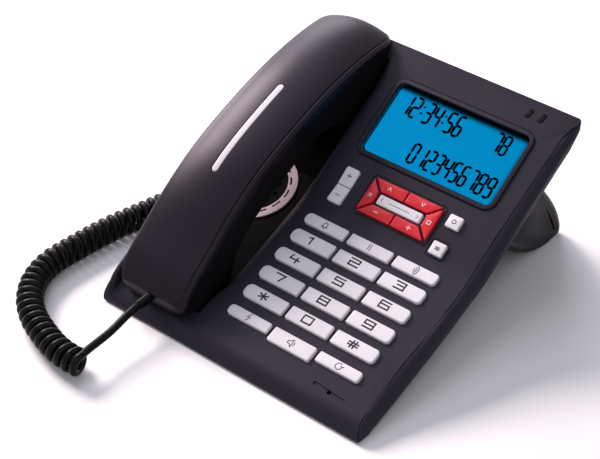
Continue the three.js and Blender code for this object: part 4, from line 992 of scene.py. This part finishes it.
# the dark digits: seven segments each, flat black because the crystal stops the light from behind
crystal = finish("liquid crystal, switched dark", "#000000", 0.5, 1.0, shade="#000000")
segments = {"0": "abcdef", "1": "bc", "2": "abged", "3": "abgcd", "4": "fgbc", "5": "afgcd", "6": "afgedc",
            "7": "abc", "8": "abcdefg", "9": "abcdfg"}
segment_ends = {
    "a": ((0, 1), (1, 1)), "b": ((1, 0.5), (1, 1)), "c": ((1, 0), (1, 0.5)), "d": ((0, 0), (1, 0)),
    "e": ((0, 0), (0, 0.5)), "f": ((0, 0.5), (0, 1)), "g": ((0, 0.5), (1, 0.5))}
glass_top = heights("display_panel", display_frame)[1]
lcd_width, lcd_height, lcd_stroke, lcd_gap, lcd_pitch = 0.0037, 0.0116, 0.0015, 0.00005, 0.0054
film_low, film_high, dot_size, dot_rises = 0.00002, 0.00008, 0.0012, (0.32, 0.68)


def film(mesh, outline):
    """Adds a thin flat film over the panel's glass."""
    walled(mesh, [[(*p, glass_top + lift) for p in outline] for lift in (film_low, film_high)])


def digit(mesh, figure, x, y, scale):
    """One figure's segments as thin six-sided films."""
    half = lcd_stroke * scale / 2
    for letter in segments[figure]:
        (x0, y0), (x1, y1) = segment_ends[letter]
        one = Vector((x0 * lcd_width, y0 * lcd_height)) * scale + Vector((x, y))
        two = Vector((x1 * lcd_width, y1 * lcd_height)) * scale + Vector((x, y))
        way = (two - one).normalized()
        side = Vector((-way.y, way.x)) * half
        one, two = one + way * lcd_gap, two - way * lcd_gap
        film(mesh, [one, one + way * half - side, two - way * half - side, two, two - way * half + side,
                    one + way * half + side])


dot = [(0, 0), (dot_size, 0), (dot_size, dot_size), (0, dot_size)]
mesh = bmesh.new()
for row, left, bottom, scale in (("12:34:56", -0.0355, 0.0702, 1.06), ("78", 0.0235, 0.0712, 0.98),
                                 ("0123456789", -0.0155, 0.0458, 1.02)):
    x = left + pane_middle.x
    for figure in row:
        if figure == ":":
            for rise in dot_rises:
                film(mesh, moved(dot, x, bottom + rise * lcd_height))
        else:
            digit(mesh, figure, x, bottom, scale)
        x += lcd_pitch * scale / (2 if figure == ":" else 1)
dressed(solid("display_digits", mesh, display_frame), "base", "screen", crystal)


# Handset: a crowned back shell over a dark face shell, arched from the mouthpiece to the earpiece.
# Both are moulded in ABS; they meet in a fine groove down the sides, and the back is satin painted.
handset_front, handset_length = -0.098, 0.190
handset_base, handset_top = 0.00782, 0.09445
ear_front, ear_rear, mouth_rear = 0.04602, 0.08155, -0.06095
back_shares = ((0, 0.13), (0.042, 0.25), (0.121, 0.387), (0.226, 0.555), (0.358, 0.717), (0.516, 0.85),
               (0.674, 0.948), (0.832, 1), (0.947, 0.997), (0.99, 0.955), (1, 0.9))
grip_shares = ((0.959, 0.575), (0.897, 0.645), (0.817, 0.68), (0.71, 0.667), (0.57, 0.608), (0.336, 0.487),
               (0.149, 0.348), (0.076, 0.25), (0.036, 0.14))


def handset_curve(shares, start, length):
    """A smooth side line of the handset through its shares."""
    return smooth_line([(start + along * length, handset_base + up * (handset_top - handset_base))
                        for along, up in shares], 0.002)


back_line = handset_curve(back_shares, handset_front, handset_length)
grip_line = handset_curve(grip_shares, mouth_rear, ear_front - mouth_rear)
seat_gap, lip_gap = 0.0003, 0.0012
seat = seat_gap / cos(display_tilt)
lip_y = pan_front + lip_gap
lip_z = deck_height(lip_y, 0, keypad_tilt) + lip_gap
floor_z = deck_height(pan_knee, pan_depth, keypad_tilt) + seat_gap
under_line = [(handset_front, lip_z), (lip_y, lip_z), (lip_y + lip_gap, floor_z), (pan_knee, floor_z),
              (mouth_rear, deck_height(mouth_rear, pan_depth, keypad_tilt) + seat), *grip_line[::-1],
              (ear_front, deck_height(ear_front, pocket_depth, display_tilt) + seat),
              (ear_rear, deck_height(ear_rear, pocket_depth, display_tilt) + seat), back_line[-1]]
wall_thickness, plan_corner = 0.0022, 0.0065
handset_crown, crown_run = 0.0058, 0.35
seam_width, seam_depth, handset_edge, handset_sill = 0.0007, 0.0005, 0.0026, 0.0014


def crown_rise(x, y):
    """How far the back rises over its side line: most along its middle, and nothing at the front end."""
    along = eased(y, handset_front, handset_front + crown_run * handset_length)
    return handset_crown * along * (1 - (x / handset_half) ** 2)


def handset_ring(y, margin, crease):
    """The handset's outline across itself at a place along it, drawn in by a margin."""
    from_front, from_rear = y - handset_front - margin, handset_front + handset_length - margin - y
    narrow = max(radius - sqrt(max(0, radius ** 2 - (radius - min(end, radius)) ** 2))
                 for end, radius in ((from_front, plan_corner), (from_rear, rear_corner)))
    half = handset_half - margin - narrow
    top = height_on(back_line, y) - margin
    low = height_on(under_line, y) + margin
    edge = min(handset_edge, (top - low) * 0.4)
    sill = min(handset_sill, (top - low) * 0.3)
    flat = half - edge
    crown = [share * (flat - seam_width if crease and share > 0 else flat) for share in spaced(1, -1, 16)]
    lowest = top + crown_rise(flat, y)
    corner = [(flat + edge * sin(a), lowest - edge * (1 - cos(a))) for a in quarter(6)]
    creased = [*[(flat - seam_width * share, lowest - seam_depth) for share in (0.7, 0.3)],
               (flat, lowest - 0.00005), *corner[1:]] if crease else corner
    side = [(half, low + sill), *[(half - sill * (1 - cos(a)), low + sill * (1 - sin(a)))
                                  for a in quarter(4)[1:]]]
    ring = [*[*creased, *side][::-1], *[(x, top + crown_rise(x, y)) for x in crown],
            *[(-x, z) for x, z in [*corner, *side]]]
    return [(handset_x + x, y, max(z, low)) for x, z in ring]


def handset_form(margin, crease):
    """The handset's whole form, drawn in by a margin."""
    start, end = handset_front + margin, handset_front + handset_length - margin
    stops = [start + plan_corner * (1 - cos(a)) for a in quarter(8)[:-1]]
    stops += [end - rear_corner * (1 - cos(a)) for a in quarter(14)[:-1]]
    steep = (lip_y, mouth_rear, mouth_rear + 0.004, ear_front)
    stops += [stop + shift for stop in steep for shift in (-0.0006, -0.0002, 0.0002, 0.0006, 0.0015)]
    stops += spaced(start + plan_corner, end - rear_corner, 90)
    kept = [start]
    for stop in sorted(stops):
        if stop - kept[-1] > 0.0001:
            kept.append(stop)
    return skin("handset_form", [handset_ring(y, margin, crease) for y in kept])


parting_drop, parting_gap, parting_low = 0.0052, 0.0003, 0.0152
parting_line = [(-reach, parting_low), (handset_front + 0.0012, parting_low),
                *[(y, z - parting_drop) for y, z in back_line if handset_front + 0.012 < y < 0.082]]
parting_line.append((reach, parting_line[-1][1]))
neck_radius, neck_length, plug_z = 0.0022, 0.0083, 0.0162

strip_half, strip_recess, strip_gap, strip_dome, dome_cut = 0.0018, 0.0012, 0.0006, 0.0002, 0.004
strip_front, strip_rear = handset_front + 0.287 * handset_length, handset_front + 0.597 * handset_length


def strip_form(name, margin, low, dome):
    """A strip with round ends, bent along the handset's back."""
    half, front, rear = strip_half + margin, strip_front - margin, strip_rear + margin
    ends = [half * (1 - cos(a)) for a in quarter(8)]
    middle = spaced(front + half, rear - half, 30)[1:-1]
    rings = []
    for y in [front + e for e in ends] + middle + [rear - e for e in ends[::-1]]:
        end = min(y - front, rear - y, half)
        wide = sqrt(max(0.0004 ** 2, half ** 2 - (half - end) ** 2))
        back = height_on(back_line, y) + crown_rise(0, y)
        upper = [(wide * cos(turn), dome * wide / half * sin(turn)) for turn in spaced(0, pi, 8)]
        rings.append([(handset_x + wide, y, back + low), *[(handset_x + x, y, back + z) for x, z in upper],
                      (handset_x - wide, y, back + low)])
    return skin(name, rings)


back_shell, face_shell = handset_form(0, True), handset_form(0, False)
for shell in (back_shell, face_shell):
    cut(shell, handset_form(wall_thickness, False))
combine(back_shell, "INTERSECT", across([*parting_line, (reach, reach), (-reach, reach)]))
combine(face_shell, "INTERSECT", across([*[(y, z - parting_gap) for y, z in parting_line],
                                         (reach, -reach), (-reach, -reach)]))
neck = Matrix.Translation((handset_x, handset_front, plug_z)) @ Matrix.Rotation(-pi / 2, 4, "X")
ear_y = (ear_front + ear_rear) / 2
ear_place = (Matrix.Translation((handset_x, ear_y, deck_height(ear_y, pocket_depth, display_tilt) + seat))
             @ Matrix.Rotation(display_tilt, 4, "X"))
mouth_place = Matrix.Translation((handset_x, (pan_knee + lip_y) / 2, floor_z))
sound_radius, sound_pitch, sound_depth = 0.0011, 0.005, 0.0024
cut(back_shell, strip_form("strip_recess", strip_gap, -strip_recess, dome_cut),
    barrel(neck_radius, -reach, neck_length, neck))
cut(face_shell, barrel(neck_radius, -reach, neck_length, neck))
for place, spots in ((ear_place, (0, 1, 2, 3, 4, 5)), (mouth_place, (0, 2, 4))):
    sound_holes = bow((0, 0), sound_pitch, [spot * pi / 3 for spot in spots]) + [(0, 0)]
    cut(face_shell, *[barrel(sound_radius, -wall, sound_depth, place @ Matrix.Translation((x, y, 0)), 16)
                      for x, y in sound_holes])
back_shell.name, face_shell.name = "handset_back_shell", "handset_face_shell"
# The back's paint is nearly black, with a satin sheen that is faintly violet.
satin_back = finish("ABS back, satin painted", "#0c0a10", 0.38, 1.255, grain=0.14,
                    grain_size=0.0004, shade="#110f16", tint="#f6e2ff")
# Bare black ABS looks duller than the painted back, because its grain scatters the sheen.
dark_abs = finish("ABS, moulded in black with a fine spark grain", "#0b090c", 0.45, 1.15,
                  grain=0.2, grain_size=0.0005, shade="#121013")
dressed(smoothed(back_shell, radians(28)), "handset", "casing", satin_back, "handset_back")
dressed(smoothed(face_shell, radians(28)), "handset", "dark", dark_abs, "handset_face")
# Pearl lacquer looks pale and soft, and it catches the light as one bright line.
bright_strip = finish("ABS strip, pearl lacquered", "#c6c2c9", 0.42, 1.3, coat=0.05, shade="#d0ccd3")
strip = smoothed(strip_form("handset_strip_inlay", 0, -strip_recess + seat_gap, strip_dome))
dressed(strip, "handset", "silver", bright_strip, "handset_strip")


# Stand: a rounded lobe under the rear that props the telephone up, moulded in black ABS.
# It clips under the bottom casing, and its ends have a raised rim round a shallow dish.
tray_rear, tray_rear_height, tray_knee = 0.079, 0.05802, -0.02192
tray_slope = (tray_rear_height - front_lift) / (tray_rear - tray_knee)
stand_front, stand_reach, stand_half, stand_edge = 0.036, 0.1029, 0.0775, 0.0024
stand_shares = ((0.052, 0.526), (0.142, 0.414), (0.336, 0.224), (0.575, 0.069), (0.8, 0), (0.979, 0),
                (1, 0.034), (1, 0.103), (0.905, 0.355), (0.78, 0.577), (0.655, 0.765))


def tray_under(y):
    """The height of the tray's underside over a place along the telephone."""
    return front_lift + max(0, y - tray_knee) * tray_slope


stand_points = [(stand_front + along * (stand_reach - stand_front), up * tray_rear_height)
                for along, up in stand_shares]
stand_run = [(y, max(0, z)) for y, z in smooth_line(stand_points, 0.003)]
stand_gap = 0.0003
stand_rear, under_gap = tray_rear - stand_gap, stand_gap / cos(atan(tray_slope))
stand_line = [(stand_front, tray_under(stand_front) - under_gap), *stand_run,
              (stand_rear, tray_under(stand_rear) - under_gap)]
dish_rim, dish_depth = 0.0042, 0.0012
stations = [(stand_half - dish_depth, dish_rim + dish_depth), (stand_half - 0.0002, dish_rim - 0.0004),
            (stand_half, dish_rim - dish_depth)]
stations += [(stand_half - stand_edge * (1 - cos(a)), stand_edge * (1 - sin(a))) for a in quarter(6)]
stations += [(-x, inset) for x, inset in stations[::-1]]
stand = smoothed(skin("stand_lobe", [[(x, y, z) for y, z in offset(stand_line, -inset)]
                                     for x, inset in stations]))
# Its ABS is a little greyer and more satin than the handset's face.
stand_abs = finish("ABS stand, moulded in black with a satin spark finish", "#0f0e12", 0.4, 1.18,
                   grain=0.2, grain_size=0.0005, shade="#151418")
dressed(stand, "base", "dark", stand_abs, "stand")


# Inner and small pieces: boards, mats, jacks and capsules inside, the bottom casing, feet and screws
# underneath, and the loudspeaker's ring. But for the indicators' lenses they keep the CAD's shape.
# Solder mask looks dark green and glossy, silicone a dull grey, and rubber darker and duller still.
board = finish("glass-epoxy laminate, solder-masked", "#1c5c38", 0.35, grain=0.1, grain_size=0.0006,
               shade="#236b43")
silicone = finish("silicone rubber, moulded", "#5a5a5e", 0.7, grain=0.1, grain_size=0.0005, shade="#66666a")
rubber = finish("rubber, moulded", "#2b2b2d", 0.8, grain=0.3, grain_size=0.0005, shade="#353538")
# The smoked lens is nearly black and smooth, zinc a grey metal gloss, paper matt, pearl a pinkish metal.
lens = finish("polycarbonate light guide, smoked", "#0c0a0b", 0.3, 1.15, shade="#141012")
steel = finish("steel, zinc plated", "#9c9da1", 0.32, shade="#a9aaad", metal=1.0)
paper_cone = finish("paper cone, pressed", "#151416", 0.75, grain=0.3, grain_size=0.0006, shade="#1d1c1f")
pearl = finish("ABS ring, pearl lacquered", "#8f7f86", 0.4, coat=0.1, shade="#9b8a92", metal=0.35)
for node, shape in lamp_shapes.items():
    dressed(cap(node + "_lens", shape, *heights(node, display_frame)), "base", "lamp", lens, node)
for material, nodes in (
    (board, ("display_board", "keypad_board")), (silicone, ("keypad_mat", "cluster_mat")),
    (pearl, ("speaker_ring",)), (paper_cone, ("loudspeaker", "receiver")),
    (rubber, ("foot_left", "foot_right")),
    (steel, ("screw_front_left", "screw_front_right", "screw_rear", "handset_microphone")),
    (dark_abs, ("bottom_casing", "base_microphone", "hook_plunger", "handset_jack", "line_jack")),
):
    for node in nodes:
        painted(frame["nodes"][node], material)
